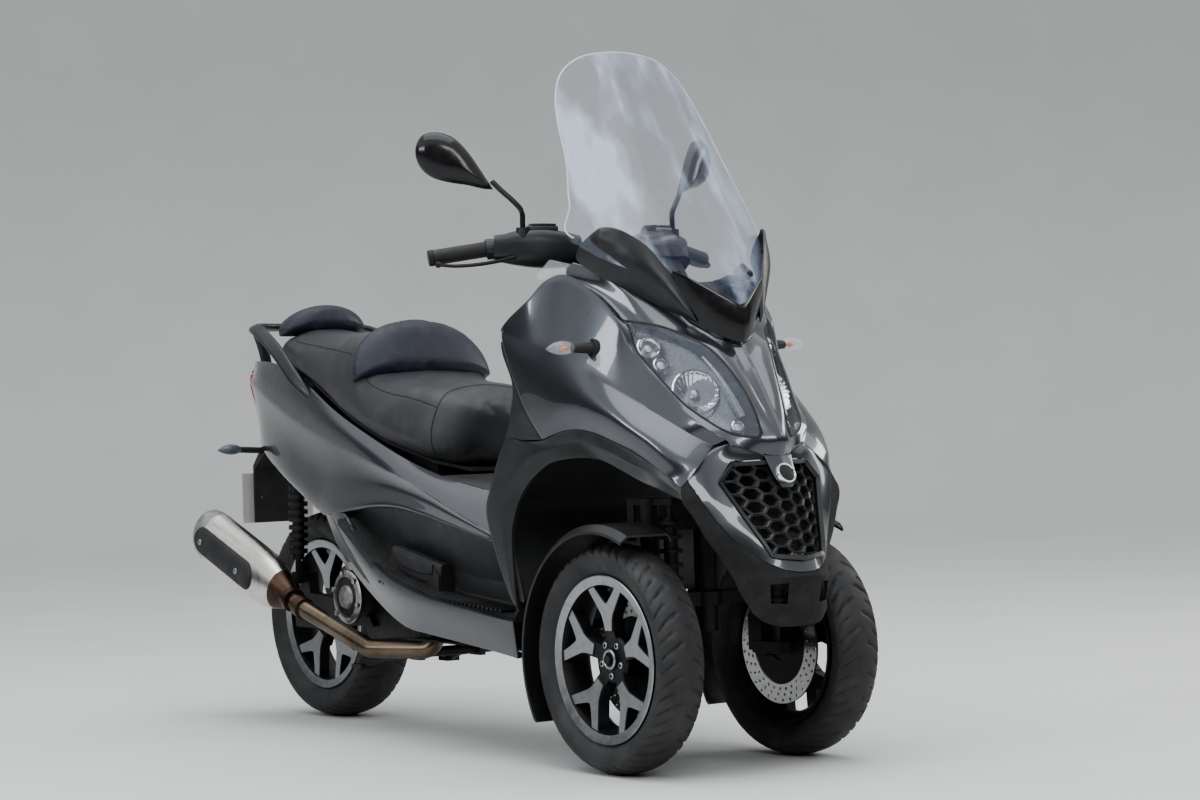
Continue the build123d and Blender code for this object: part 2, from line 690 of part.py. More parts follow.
def rim(x, y, z, rim_radius, rim_width, outward):
    """Cast wheel: barrel with two lips, hub with a bore and five forked spokes."""
    half = rim_width / 2
    barrel = [
        (-half, rim_radius), (-half, rim_radius - 12), (-half + 12, rim_radius - 24), (-16, rim_radius - 34),
        (16, rim_radius - 34), (half - 12, rim_radius - 24), (half, rim_radius - 12), (half, rim_radius),
        (half - rim_lip, rim_radius), (half - rim_lip, rim_radius - rim_lip), (half - 20, rim_radius - 9),
        (14, rim_radius - 26), (-14, rim_radius - 26), (-half + 20, rim_radius - 9),
        (-half + rim_lip, rim_radius - rim_lip), (-half + rim_lip, rim_radius),
    ]
    hub_half = 34.0
    fork = spoke_fork_share * rim_radius
    reach = rim_radius - 26
    face = outward * (half - 16)
    tip_x = reach * cos(radians(spoke_spread))
    tip_y = reach * sin(radians(spoke_spread))
    blade = spoke_branch_width / 2
    fork_outline = [
        (0, -spoke_width / 2), (fork, -spoke_width / 2), (tip_x, -tip_y - blade), (tip_x, -tip_y + blade),
        (fork + 22, 0), (tip_x, tip_y - blade), (tip_x, tip_y + blade), (fork, spoke_width / 2), (0, spoke_width / 2),
    ]
    with BuildPart(mode=Mode.PRIVATE) as body:
        add(turned(x, y, z, barrel))
        with BuildSketch(wheel_centre(x, y, z)):
            Circle(hub_radius)
        extrude(amount=hub_half, both=True)
        with BuildSketch(wheel_centre(x + face, y, z)):
            with PolarLocations(0, spoke_count):
                Polygon(*fork_outline, align=None)
        extrude(amount=-outward * spoke_depth)
        with BuildSketch(wheel_centre(x + outward * hub_half, y, z)):
            Circle(cap_radius)
            Circle(cap_radius - cap_ring, mode=Mode.SUBTRACT)
        extrude(amount=outward * cap_rise)
        with BuildSketch(wheel_centre(x + outward * hub_half, y, z)):
            with PolarLocations(bolt_circle, spoke_count):
                Circle(bolt_radius)
        extrude(amount=outward * bolt_rise)
        with BuildSketch(wheel_centre(x, y, z)):
            Circle(axle_radius + running_fit)
        extrude(amount=half, both=True, mode=Mode.SUBTRACT)
    return body.part


def disc(x, y, z, radius, outward):
    """Brake disc on the wheel's inner side, with two rings of round holes."""
    with BuildPart(mode=Mode.PRIVATE) as body:
        with BuildSketch(wheel_centre(x, y, z)):
            Circle(radius)
            Circle(hub_radius - 8, mode=Mode.SUBTRACT)
            for ring in (0, 1):
                with PolarLocations(radius - 12 - 14 * ring, disc_hole_count, start_angle=7.5 * ring):
                    Circle(disc_hole_radius, mode=Mode.SUBTRACT)
        extrude(amount=-outward * disc_thickness)
    return body.part


sides = (("right", -1), ("left", 1))
front_wheels = {}
for name, s in sides:
    x = s * front_track / 2
    front_wheels["tyre_" + name] = tyre(x, 0, front_tyre_radius, front_tyre_width, front_rim_radius, front_rim_width)
    front_wheels["rim_" + name] = rim(x, 0, front_tyre_radius, front_rim_radius, front_rim_width, s)
    front_wheels["disc_" + name] = disc(x - s * 34.3, 0, front_tyre_radius, front_disc_radius, s)

rear_wheel = {
    "tyre_rear": tyre(0, wheelbase, rear_tyre_radius, rear_tyre_width, rear_rim_radius, rear_rim_width),
    "rim_rear": rim(0, wheelbase, rear_tyre_radius, rear_rim_radius, rear_rim_width, -1),
    "disc_rear": disc(34.3, wheelbase, rear_tyre_radius, rear_disc_radius, -1),
}


def tube_path(points, bend, radius):
    """Round tube along points with equal bends."""
    with BuildPart(mode=Mode.PRIVATE) as body:
        with BuildLine() as path:
            FilletPolyline(*points, radius=bend)
        with BuildSketch(Plane(origin=path.line @ 0, z_dir=path.line % 0)):
            Circle(radius)
        sweep()
    return body.part


def spring_strut(low, high, tube_radius, coil_radius, wire_radius, turns):
    """Damper between two points with the turns of its spring round it."""
    span = high - low
    axis_plane = Plane(origin=low, z_dir=span)
    with BuildPart(mode=Mode.PRIVATE) as body:
        add(rod(low, high, tube_radius * 0.5))
        add(rod(low + span * 0.12, low + span * 0.92, tube_radius))
        for turn in range(turns):
            share = 0.2 + 0.68 * turn / (turns - 1)
            with BuildSketch(axis_plane.offset(span.length * share - wire_radius)):
                Circle(coil_radius)
            extrude(amount=2 * wire_radius)
    return body.part


# Tilting front linkage: cross arms that ride on the frame's middle tube, a side tube at each end
middle_tube_radius = 24.0
boss_radius = 34.0
with BuildPart() as tilt_linkage:
    for z in (arm_low_z, arm_high_z):
        add(block(0, 0, z, 2 * kingpin_x, arm_depth, arm_height))
        add(rod(point(0, 0, z - arm_height / 2), point(0, 0, z + arm_height / 2), boss_radius))
    for s in (1, -1):
        add(rod(point(s * kingpin_x, 0, kingpin_low_z), point(s * kingpin_x, 0, kingpin_high_z), kingpin_tube_radius))
        add(rod(point(s * kingpin_x, 0, kingpin_low_z - 1), point(s * kingpin_x, 0, kingpin_high_z + 1),
                kingpin_radius + running_fit), mode=Mode.SUBTRACT)
    add(rod(point(0, 0, kingpin_low_z), point(0, 0, kingpin_high_z), middle_tube_radius + seat_gap), mode=Mode.SUBTRACT)

# Knuckles: a pin through each side tube, the arm down to the stub axle and the brake caliper
axle_z = front_tyre_radius
axle_end_x = 34.0
flange_radius = 24.0
flange_height = 14.0
bracket_width = 26.0
disc_inner_x = 34.3
caliper_angle = 135.0
caliper_mid_radius = 117.0
caliper_x = (58.0, 17.0)
knuckles = {}
dampers = {}
fenders = {}
for name, s in sides:
    x = s * kingpin_x
    wheel_x = s * front_track / 2
    low = point(x, 0, kingpin_low_z - seat_gap)
    high = point(x, 0, kingpin_high_z + seat_gap)
    strut_x = x - s * 6
    foot_z = axle_z + bracket_width / 2
    with BuildPart(mode=Mode.PRIVATE) as knuckle:
        add(rod(low, high, kingpin_radius))
        add(rod(low, low - Vector(0, 0, flange_height), flange_radius))
        add(rod(high, high + Vector(0, 0, flange_height), flange_radius))
        add(block(x, 0, (low.Z + axle_z) / 2 - 10, 34, 44, low.Z - axle_z - 4))
        add(rod(point(x, 0, axle_z), point(wheel_x - s * 40, 0, axle_z), 22))
        add(rod(point(x, 0, axle_z), point(wheel_x + s * axle_end_x, 0, axle_z), axle_radius))
        add(block(strut_x, -damper_reach / 2 - 8, high.Z + flange_height / 2, bracket_width, damper_reach + 30, flange_height))
        add(block(strut_x, -damper_reach / 2 - 8, axle_z, bracket_width, damper_reach + 30, bracket_width))
        caliper_plane = Plane(origin=point(wheel_x, 0, axle_z), x_dir=(0, cos(radians(caliper_angle)), sin(radians(caliper_angle))),
                              z_dir=(1, 0, 0)).offset(-s * sum(caliper_x) / 2)
        with BuildSketch(caliper_plane):
            with Locations((caliper_mid_radius, 0)):
                RectangleRounded(46, 84, 12)
        extrude(amount=(caliper_x[0] - caliper_x[1]) / 2, both=True)
        with BuildSketch(caliper_plane.offset(-s * (caliper_x[0] - sum(caliper_x) / 2))):
            with Locations((60, 0)):
                Rectangle(120, 30)
        extrude(amount=s * (caliper_x[0] - disc_inner_x - disc_thickness - 6))
        add(turned(wheel_x - s * disc_inner_x, 0, axle_z, [
            (s * 2, 0), (-s * (disc_thickness + 2), 0), (-s * (disc_thickness + 2), front_disc_radius + 2), (s * 2, front_disc_radius + 2)]),
            mode=Mode.SUBTRACT)
        add(rod(point(x, 0, axle_z), point(wheel_x - s * 40, 0, axle_z), 22))
        add(rod(point(x, 0, axle_z), point(wheel_x + s * axle_end_x, 0, axle_z), axle_radius))
        add(block(x + s * 9, 25, high.Z + flange_height / 2, 24, 50, flange_height))
        add(block(wheel_x - s * (fender_width / 2 + seat_gap + 2.5), 38, high.Z + flange_height - 45, 5, 24, 90))
    knuckles[name] = knuckle.part
    dampers[name] = spring_strut(point(strut_x, -damper_reach, foot_z + seat_gap), point(strut_x, -damper_reach, high.Z - seat_gap),
                                 15, damper_radius, 4, 8)
    start = radians(fender_rear_angle)
    fender_plane = Plane(origin=point(wheel_x, 0, axle_z), x_dir=(1, 0, 0), z_dir=(0, -sin(start), cos(start)))
    half = fender_width / 2
    with BuildPart(mode=Mode.PRIVATE) as fender:
        with BuildSketch(fender_plane):
            with BuildLine():
                Polyline((-half, fender_radius - fender_lip), (-half, fender_radius - 14), (-half + 14, fender_radius),
                         (half - 14, fender_radius), (half, fender_radius - 14), (half, fender_radius - fender_lip),
                         (half - fender_wall, fender_radius - fender_lip), (half - fender_wall, fender_radius - 16),
                         (half - 16, fender_radius - fender_wall), (16 - half, fender_radius - fender_wall),
                         (fender_wall - half, fender_radius - 16), (fender_wall - half, fender_radius - fender_lip), close=True)
            make_face()
        revolve(axis=Axis(point(wheel_x, 0, axle_z), (1, 0, 0)), revolution_arc=fender_front_angle - fender_rear_angle)
    fenders[name] = fender.part

# Frame: head tube and middle tube in front, spine and rails under the floor, rear shock mounts
spine_radius = 20.0
shock_x = 130.0
shock_top = (1516.0, 637.3)
shock_foot = (1530.0, 392.0)
tail_tube_radius = 12.0
hanger_x = 20.0
outrigger_z = 278.0
outrigger_y = ((420.0, 10.0), (830.0, 10.0))


def board_under(y):
    """Height just below the footboards' underside at a y."""
    for front, back in zip(board_line, board_line[1:]):
        if front[0] <= y <= back[0]:
            share = (y - front[0]) / (back[0] - front[0])
            return front[1] + (back[1] - front[1]) * share - board_thickness - seat_gap


with BuildPart() as frame:
    add(rod(point(0, 0, kingpin_low_z - 40), point(0, 0, kingpin_high_z + 20), middle_tube_radius))
    add(rod(column_foot + column_way * 60, column_foot + column_way * 230, head_tube_radius))
    add(rod(point(0, 0, kingpin_high_z), column_foot + column_way * 100, middle_tube_radius - 6))
    add(rod(point(0, 0, kingpin_low_z - 18), point(0, 360, rail_z), spine_radius))
    for y, z in ((360, rail_z), (890, rail_z), (1480, 646)):
        add(rod(point(-rail_x, y, z), point(rail_x, y, z), rail_radius))
    for s in (1, -1):
        rail = [point(s * rail_x, y, z) for y, z in ((350, rail_z), (985, rail_z), (1075, 560), (1530, 655))]
        add(tube_path(rail, 40, rail_radius))
        add(rod(point(s * rail_x, 1530, 655), point(s * 60, 1712, 665), tail_tube_radius))
        add(block(s * hanger_x, (890 + 1005 - seat_gap) / 2, 300, 10, 115 - seat_gap, 40))
        for y, width in outrigger_y:
            add(rod(point(s * rail_x, y, outrigger_z), point(s * 232, y, outrigger_z), 10))
            top = [(y - width, board_under(y - width)), (y + width, board_under(y + width))]
            add(side_prism([(y + width, outrigger_z), (y - width, outrigger_z)] + top, *sorted((s * 212, s * 236))))
    add(rod(point(0, *shield_boss[0]), point(0, *shield_boss[1]), shield_boss_radius))
    add(rod(column_foot + column_way * 50, column_foot + column_way * 240, column_radius + running_fit), mode=Mode.SUBTRACT)

# Steering: column, handlebar, grips, covers, levers and mirrors
grip_span = point(grip_outer_x, grip_outer_y, grip_outer_z) - point(grip_inner_x, grip_inner_y, grip_inner_z)
grip_length = grip_span.length
grip_way = grip_span.normalized()
with BuildPart() as handlebar:
    add(rod(column_foot + column_way * 62, column_top, column_radius))
    with Locations(point(0, 318, 1105)):
        Box(190, 90, 56)
    fillet(handlebar.edges().filter_by(Axis.X), 14)
    for s in (1, -1):
        add(rod(point(s * 60, 330, 1112), point(s * grip_inner_x, grip_inner_y, grip_inner_z), bar_radius))
        way = Vector(s * grip_way.X, grip_way.Y, grip_way.Z)
        start = point(s * grip_inner_x, grip_inner_y, grip_inner_z)
        add(rod(start, start + way * (grip_length - 6), bar_radius))

with BuildPart() as grips:
    for s in (1, -1):
        way = Vector(s * grip_way.X, grip_way.Y, grip_way.Z)
        start = point(s * grip_inner_x, grip_inner_y, grip_inner_z)
        add(rod(start + way * 12, start + way * grip_length, grip_radius))
        add(rod(start, start + way * (grip_length - 5), bar_radius + running_fit), mode=Mode.SUBTRACT)

lever_route = [(232, 350, 1112), (268, 384, 1098), (334, 426, 1084)]
lever_radius = 6.0

with BuildPart() as control_covers:
    for s in (1, -1):
        cover = soft_block(s * 172, 362, 1118, 140, 62, 62, Axis.X, 20)
        add(cover.rotate(Axis(point(s * 172, 362, 1118), (0, 0, 1)), s * 24))
        add(soft_block(s * 156, 352, 1158, 56, 40, 22, Axis.Z, 10))
        add(rod(point(s * 232 - s * 2, 348, 1112.8), point(s * 268, 384, 1098), lever_radius + seat_gap), mode=Mode.SUBTRACT)
        add(rod(point(s * 60, 330, 1112), point(s * grip_inner_x, grip_inner_y, grip_inner_z), bar_radius + running_fit), mode=Mode.SUBTRACT)

with BuildPart() as brake_levers:
    for s in (1, -1):
        add(tube_path([point(s * x, y, z) for x, y, z in lever_route], 40, lever_radius))

mirror_turn = 30.0
mirror_neck = (252.0, 380.0)
mirror_depth = 30.0
mirror_bevel = 9.0
mirror_low_z = 1252.0
stem_route = [(205, 356, 1149 + seat_gap), (205, 356, 1205), (246, 374, 1246), (266, 388, 1274)]

with BuildPart() as mirrors:
    for s in (1, -1):
        add(tube_path([point(s * x, y, z) for x, y, z in stem_route], 12, 6))
        turn = radians(mirror_turn)
        glass = Plane(origin=point(s * mirror_neck[0], mirror_neck[1] + mirror_depth / 2, 0),
                      x_dir=(cos(turn), s * sin(turn), 0), z_dir=(s * sin(turn), -cos(turn), 0))
        with BuildPart(mode=Mode.PRIVATE) as head:
            with BuildSketch(glass):
                with BuildLine():
                    Line((0, mirror_low_z), (s * 58, 1339))
                    ThreePointArc((s * 58, 1339), (s * 108, 1378), (s * 152, 1380))
                    ThreePointArc((s * 152, 1380), (s * 171, 1344), (s * 152, 1298))
                    ThreePointArc((s * 152, 1298), (s * 106, 1274), (s * 44, 1264))
                    Line((s * 44, 1264), (0, mirror_low_z))
                make_face()
            extrude(amount=mirror_depth)
            chamfer(head.faces().sort_by(Axis(glass.origin, glass.z_dir))[-1].edges(), mirror_bevel)
        add(head.part)


# Swing unit: engine ahead of the rear wheel, drive case on the left, arm on the right
engine_profile = [
    (1005, 232), (1240, 215), (1270, 260), (1268, 400), (1230, 470), (1120, 520), (1030, 470), (1005, 330),
]
engine_x = 100.0
stand_pivot = (1040.0, 190.0)
stand_radius = 12.0
cover_radius = 52.0
fin_count = 5
fin_depth = 8.0
fin_length = 96.0
fin_wall = 4.0
fin_pitch = 13.0
fin_y = 1112.0
fin_z = 392.0
case_x = (84.0, 150.0)
case_front = (1180.0, 300.0, 92.0)
case_rear = (wheelbase, rear_tyre_radius, 84.0)
arm_x = (84.0, 112.0)
rear_axle_radius = 10.0

with BuildPart() as engine:
    add(side_prism(engine_profile, -engine_x, engine_x))
    with BuildSketch(side(-engine_x)):
        with Locations((1235, 322)):
            Circle(cover_radius)
    extrude(amount=-22)
    with BuildSketch(side(-engine_x - 22)):
        with Locations((1235, 322)):
            Circle(cover_radius - 18)
    extrude(amount=6, mode=Mode.SUBTRACT)
    for s in (1, -1):
        add(block(s * 86, stand_pivot[0], stand_pivot[1] + 20, 16, 44, 72))
        for k in range(fin_count):
            add(block(s * (engine_x + fin_depth / 2), fin_y, fin_z + k * fin_pitch, fin_depth, fin_length, fin_wall))
    add(rod(point(-engine_x, *stand_pivot), point(engine_x, *stand_pivot), stand_radius + running_fit), mode=Mode.SUBTRACT)

with BuildPart() as drive_case:
    with BuildSketch(side(case_x[0])):
        make_hull(
            (Location((case_front[0], case_front[1])) * Circle(case_front[2], mode=Mode.PRIVATE)).edges()
            + (Location((case_rear[0], case_rear[1])) * Circle(case_rear[2], mode=Mode.PRIVATE)).edges()
        )
    extrude(amount=case_x[1] - case_x[0])
    add(side_prism(engine_profile, -engine_x - 1, engine_x + seat_gap), mode=Mode.SUBTRACT)
    add(block(shock_x, 1530, 353, 30, 30, 41))
    add(rod(point(case_x[0] + 20, wheelbase, rear_tyre_radius), point(0, wheelbase, rear_tyre_radius), rear_axle_radius))

with BuildPart() as rear_shocks:
    for s in (1, -1):
        low = point(s * shock_x, *shock_foot)
        top = point(s * shock_x, *shock_top)
        add(spring_strut(low - Vector(0, 0, 18), top, 15, 24, 5, 10))

# Exhaust: pipe from under the engine, oval silencer and its recessed heat shield
pipe_radius = 22.0
silencer_x = -226.0
silencer_front = (1402.0, 318.0)
silencer_rear = (1830.0, 476.0)
silencer_half = (52.0, 70.0)
muffler_way = (point(0, *silencer_rear) - point(0, *silencer_front)).normalized()
muffler_length = (point(0, *silencer_rear) - point(0, *silencer_front)).length
pipe_route = [
    (-60, 1005 - seat_gap, 281), (-60, 948, 281), (-110, 942, 205), (-188, 1090, 205), (-206, 1260, 262),
    (silencer_x, silencer_front[0] - muffler_way.Y * 60, silencer_front[1] - muffler_way.Z * 60),
    (silencer_x, *silencer_front),
]
silencer_sections = ((0.0, 0.55), (0.2, 0.96), (0.85, 1.0), (1.0, 0.8))


def silencer_form(grow):
    """Oval silencer, its skin moved out by an amount."""
    body_plane = Plane(origin=point(silencer_x, *silencer_front), x_dir=(1, 0, 0), z_dir=muffler_way)
    with BuildPart(mode=Mode.PRIVATE) as form:
        for share, size in silencer_sections:
            with BuildSketch(body_plane.offset(seat_gap + muffler_length * share)):
                Ellipse(silencer_half[0] * size + grow, silencer_half[1] * size + grow)
        loft(ruled=True)
    return form.part


with BuildPart() as exhaust_pipe:
    add(tube_path([point(*p) for p in pipe_route], 26, pipe_radius))

outlet_radius = 26.0
outlet_wall = 3.0
outlet_depth = 60.0
outlet_rise = 14.0
outlet_end = point(silencer_x, *silencer_rear) + muffler_way * outlet_rise
with BuildPart() as silencer:
    add(silencer_form(0))
    add(rod(outlet_end, outlet_end - muffler_way * outlet_depth, outlet_radius))
    add(rod(outlet_end, outlet_end - muffler_way * outlet_depth, outlet_radius - outlet_wall), mode=Mode.SUBTRACT)

with BuildPart() as silencer_shield:
    shield_plane = Plane(origin=point(silencer_x - silencer_half[0] - 3, *silencer_front) + muffler_way * muffler_length * 0.56,
                         x_dir=muffler_way, z_dir=(-1, 0, 0))
    with BuildSketch(shield_plane):
        SlotOverall(250, 62)
    extrude(amount=-14)
    add(silencer_form(seat_gap), mode=Mode.SUBTRACT)

silencer_hanger = (1552.0, 352.0)
silencer_hanger_radius = 10.0
with BuildPart() as rear_arm:
    arm_profile = [(1200, 248), (1235, 250), (1500, 232), (1580, 232), (1590, 290), (1560, 330), (1545, 372), (1515, 372),
                   (1505, 320), (1240, 300)]
    add(side_prism(arm_profile, -arm_x[1], -arm_x[0]))
    add(side_prism(engine_profile, -engine_x - seat_gap, engine_x + 1), mode=Mode.SUBTRACT)
    add(rod(point(-60, 1235, 322), point(-200, 1235, 322), cover_radius + seat_gap), mode=Mode.SUBTRACT)
    add(rod(point(seat_gap - 0.6, wheelbase, rear_tyre_radius), point(-arm_x[0], wheelbase, rear_tyre_radius), rear_axle_radius))
    add(block(-shock_x + 6, 1530, 361, 36, 30, 25))
    add(rod(point(-arm_x[0] - 4, *silencer_hanger), point(silencer_x, *silencer_hanger), silencer_hanger_radius))
    add(silencer_form(seat_gap), mode=Mode.SUBTRACT)

# Tail: grab rails, mudguard, plate and indicators
plate_y = overall_length - nose_overhang
plate_wall = 2.0
plate_x = 105.0
plate_hole_z = 556.0
plate_hole_spacing = 100.0
plate_hole_radius = 3.25
mudguard_x = 72.0
mudguard_y = plate_y - plate_wall - seat_gap
mudguard_profile = [
    (1700, 690), (1780, 720), (mudguard_y, 640), (mudguard_y, 490), (mudguard_y - 8, 490), (mudguard_y - 8, 632),
    (1765, 690), (1700, 676),
]

with BuildPart() as grab_rails:
    rail = [
        (170, 1350, 800), (190, 1410, 866), (184, 1520, 932), (158, 1690, 982), (60, 1790, 990),
        (-60, 1790, 990), (-158, 1690, 982), (-184, 1520, 932), (-190, 1410, 866), (-170, 1350, 800),
    ]
    add(tube_path([point(*p) for p in rail], 36, 13))
    for s in (1, -1):
        add(rod(point(s * 88, 1745, 880), point(s * 104, 1745, 988), 10))
    add(rear_form(-seat_gap, 20), mode=Mode.SUBTRACT)

with BuildPart() as mudguard:
    add(side_prism(mudguard_profile, -mudguard_x, mudguard_x))
    with BuildSketch(station(0)):
        with Locations((0, plate_hole_z)):
            with GridLocations(plate_hole_spacing, 1, 2, 1):
                Circle(plate_hole_radius)
    extrude(amount=-3000, mode=Mode.SUBTRACT)

with BuildPart() as number_plate:
    add(side_prism([(plate_y, 490), (plate_y, 620), (plate_y - plate_wall, 620), (plate_y - plate_wall, 490)], -plate_x, plate_x))
    with BuildSketch(station(0)):
        with Locations((0, plate_hole_z)):
            with GridLocations(plate_hole_spacing, 1, 2, 1):
                Circle(plate_hole_radius)
    extrude(amount=-3000, mode=Mode.SUBTRACT)

with BuildPart() as indicator_stalks:
    for s in (1, -1):
        add(rod(point(s * 205, 62, 895), point(s * 278, 66, 895), 9) - front_form(-seat_gap, front_back_y))
        add(rod(point(s * (mudguard_x + seat_gap), 1806, 680), point(s * 134, 1806, 680), 9))

with BuildPart() as indicator_lenses:
    for s in (1, -1):
        for x, y, z in ((s * 310, 66, 895), (s * 162, 1806, 680)):
            with BuildPart(mode=Mode.PRIVATE) as lens:
                with BuildSketch(station(y)):
                    with Locations((x, z)):
                        Ellipse(36, 15)
                extrude(amount=17, both=True)
                add(rod(point(x - s * 50, y, z), point(x - s * 27, y, z), 9.6), mode=Mode.SUBTRACT)
            add(lens.part)

# Centre stand, folded up under the floor
with BuildPart() as centre_stand:
    add(rod(point(-124, *stand_pivot), point(124, *stand_pivot), stand_radius))
    for s in (1, -1):
        add(tube_path([point(s * 112, *stand_pivot), point(s * 112, 1160, 176), point(s * 126, 1234, 156)], 60, 11))
        add(block(s * 126, 1236, 152, 34, 44, 10))
    add(rod(point(-112, 1150, 177), point(112, 1150, 177), 9))

nodes = {
    "frame": frame.part,
    "tilt_linkage": tilt_linkage.part,
    "nose_cowl": nose_cowl.part,
    "headlamp_lenses": headlamp_lenses.part,
    "headlamp_reflectors": headlamp_reflectors.part,
    "front_panels": front_panels.part,
    "arch_trims": arch_trims.part,
    "grille_carrier": grille_carrier.part,
    "grille": grille.part,
    "chin": chin.part,
    "windscreen": windscreen.part,
    "deflectors": deflectors.part,
    "leg_shield": leg_shield.part,
    "instruments": instruments.part,
    "floor_tunnel": floor_tunnel.part,
    "footboards": footboards.part,
    "sills": sills.part,
    "belly_pan": belly_pan.part,
    "rear_body": rear_body.part,
    "storage_tub": storage_tub.part,
    "tail_lamp": tail_lamp.part,
    "grab_rails": grab_rails.part,
    "mudguard": mudguard.part,
    "number_plate": number_plate.part,
    "indicator_stalks": indicator_stalks.part,
    "indicator_lenses": indicator_lenses.part,
    "engine": engine.part,
    "drive_case": drive_case.part,
    "rear_arm": rear_arm.part,
    "rear_shocks": rear_shocks.part,
    "exhaust_pipe": exhaust_pipe.part,
    "silencer": silencer.part,
    "silencer_shield": silencer_shield.part,
    "seat_base": seat_base.part,
    "seat_cushion": seat_cushion.part,
    "seat_bolsters": seat_bolsters.part,
    "handlebar": handlebar.part,
    "grips": grips.part,
    "control_covers": control_covers.part,
    "brake_levers": brake_levers.part,
    "mirrors": mirrors.part,
    "centre_stand": centre_stand.part,
    **front_wheels,
    **rear_wheel,
}
for name, _ in sides:
    nodes["knuckle_" + name] = knuckles[name]
    nodes["damper_" + name] = dampers[name]
    nodes["fender_" + name] = fenders[name]

os.makedirs("parts", exist_ok=True)
for name, piece in nodes.items():
    piece.label = name
    export_step(piece, "parts/" + name + ".step")
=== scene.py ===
"""Looks of the three-wheel scooter: smooth panels, wheels, lamps, seat and their materials."""
import math

import bmesh
import bpy
import numpy as np
from mathutils.bvhtree import BVHTree
from mathutils import Matrix, Vector


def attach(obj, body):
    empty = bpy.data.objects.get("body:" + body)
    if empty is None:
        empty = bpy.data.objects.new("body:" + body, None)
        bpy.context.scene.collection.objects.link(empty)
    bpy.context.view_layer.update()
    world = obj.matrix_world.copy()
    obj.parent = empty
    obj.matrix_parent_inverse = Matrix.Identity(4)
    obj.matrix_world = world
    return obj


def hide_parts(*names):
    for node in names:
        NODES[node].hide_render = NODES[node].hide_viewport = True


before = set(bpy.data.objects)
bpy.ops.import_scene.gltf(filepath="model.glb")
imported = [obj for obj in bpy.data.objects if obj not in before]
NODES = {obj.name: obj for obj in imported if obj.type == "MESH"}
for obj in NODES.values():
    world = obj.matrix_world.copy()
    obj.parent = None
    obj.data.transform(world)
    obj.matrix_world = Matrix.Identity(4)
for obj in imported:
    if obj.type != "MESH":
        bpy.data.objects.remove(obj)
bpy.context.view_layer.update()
AXLE_Y = -757.5
WHEELBASE = 1550.0
REAR_Y = AXLE_Y + WHEELBASE


# camera

def place_camera():
    """Camera solved from the photograph: 90 mm lens, seen from the front right at wheel height."""
    az, el, roll, dist = math.radians(-35.29), math.radians(-0.02), math.radians(-1.72), 6.875
    target = Vector((0.0908, (500 + AXLE_Y) / 1000, 0.7848))
    back = Vector((math.sin(az) * math.cos(el), -math.cos(az) * math.cos(el), math.sin(el)))
    right = (-back).cross(Vector((0, 0, 1))).normalized()
    up = right.cross(-back)
    right2 = right * math.cos(roll) + up * math.sin(roll)
    up2 = -right * math.sin(roll) + up * math.cos(roll)
    data = bpy.data.cameras.new("camera")
    data.lens = 90
    data.sensor_width = 36
    data.sensor_fit = "HORIZONTAL"
    data.clip_end = 100
    cam = bpy.data.objects.new("camera", data)
    rot = Matrix((right2, up2, back)).transposed()
    cam.matrix_world = Matrix.Translation(target + back * dist) @ rot.to_4x4()
    bpy.context.collection.objects.link(cam)
    bpy.context.scene.camera = cam


place_camera()


# materials

class Mat:
    """Small builder for node materials."""

    def __init__(self, name):
        self.mat = bpy.data.materials.new(name)
        self.mat.use_nodes = True
        self.nt = self.mat.node_tree
        self.bsdf = next(n for n in self.nt.nodes if n.type == "BSDF_PRINCIPLED")
        self.pos = None

    def node(self, kind, **props):
        n = self.nt.nodes.new(kind)
        for k, v in props.items():
            setattr(n, k, v)
        return n

    def link(self, a, b):
        self.nt.links.new(a, b)

    def set(self, **values):
        for k, v in values.items():
            self.bsdf.inputs[k.replace("_", " ")].default_value = v
        return self

    def coords(self):
        if self.pos is None:
            self.pos = self.node("ShaderNodeTexCoord").outputs["Object"]
        return self.pos

    def noise(self, scale, detail=3.0, rough=0.5, stretch=None, vector=None):
        n = self.node("ShaderNodeTexNoise")
        n.inputs["Scale"].default_value = scale
        n.inputs["Detail"].default_value = detail
        n.inputs["Roughness"].default_value = rough
        vec = vector or self.coords()
        if stretch:
            m = self.node("ShaderNodeMapping")
            m.inputs["Scale"].default_value = stretch
            self.link(vec, m.inputs["Vector"])
            vec = m.outputs["Vector"]
        self.link(vec, n.inputs["Vector"])
        return n.outputs["Fac"]

    def ramp(self, fac, stops):
        r = self.node("ShaderNodeValToRGB")
        el = r.color_ramp.elements
        while len(el) < len(stops):
            el.new(0.5)
        for e, (p, c) in zip(el, stops):
            e.position = p
            e.color = (*c, 1) if len(c) == 3 else c
        self.link(fac, r.inputs["Fac"])
        return r.outputs["Color"]

    def range(self, fac, lo, hi, a, b):
        m = self.node("ShaderNodeMapRange")
        for i, v in enumerate((lo, hi, a, b), 1):
            m.inputs[i].default_value = v
        self.link(fac, m.inputs[0])
        return m.outputs[0]

    def math(self, op, a, b=0.0):
        m = self.node("ShaderNodeMath", operation=op)
        for i, v in enumerate((a, b)):
            if isinstance(v, (int, float)):
                m.inputs[i].default_value = v
            else:
                self.link(v, m.inputs[i])
        return m.outputs[0]

    def mix(self, fac, a, b):
        m = self.node("ShaderNodeMix", data_type="RGBA")
        for sock, v in ((m.inputs[0], fac), (m.inputs[6], a), (m.inputs[7], b)):
            if isinstance(v, (int, float)):
                sock.default_value = v
            elif isinstance(v, tuple):
                sock.default_value = (*v, 1)
            else:
                self.link(v, sock)
        return m.outputs[2]

    def bump(self, height, strength, distance=0.001):
        b = self.node("ShaderNodeBump")
        b.inputs["Strength"].default_value = strength
        b.inputs["Distance"].default_value = distance
        self.link(height, b.inputs["Height"])
        self.link(b.outputs["Normal"], self.bsdf.inputs["Normal"])
        return self

    def to(self, out, name):
        self.link(out, self.bsdf.inputs[name])
        return self


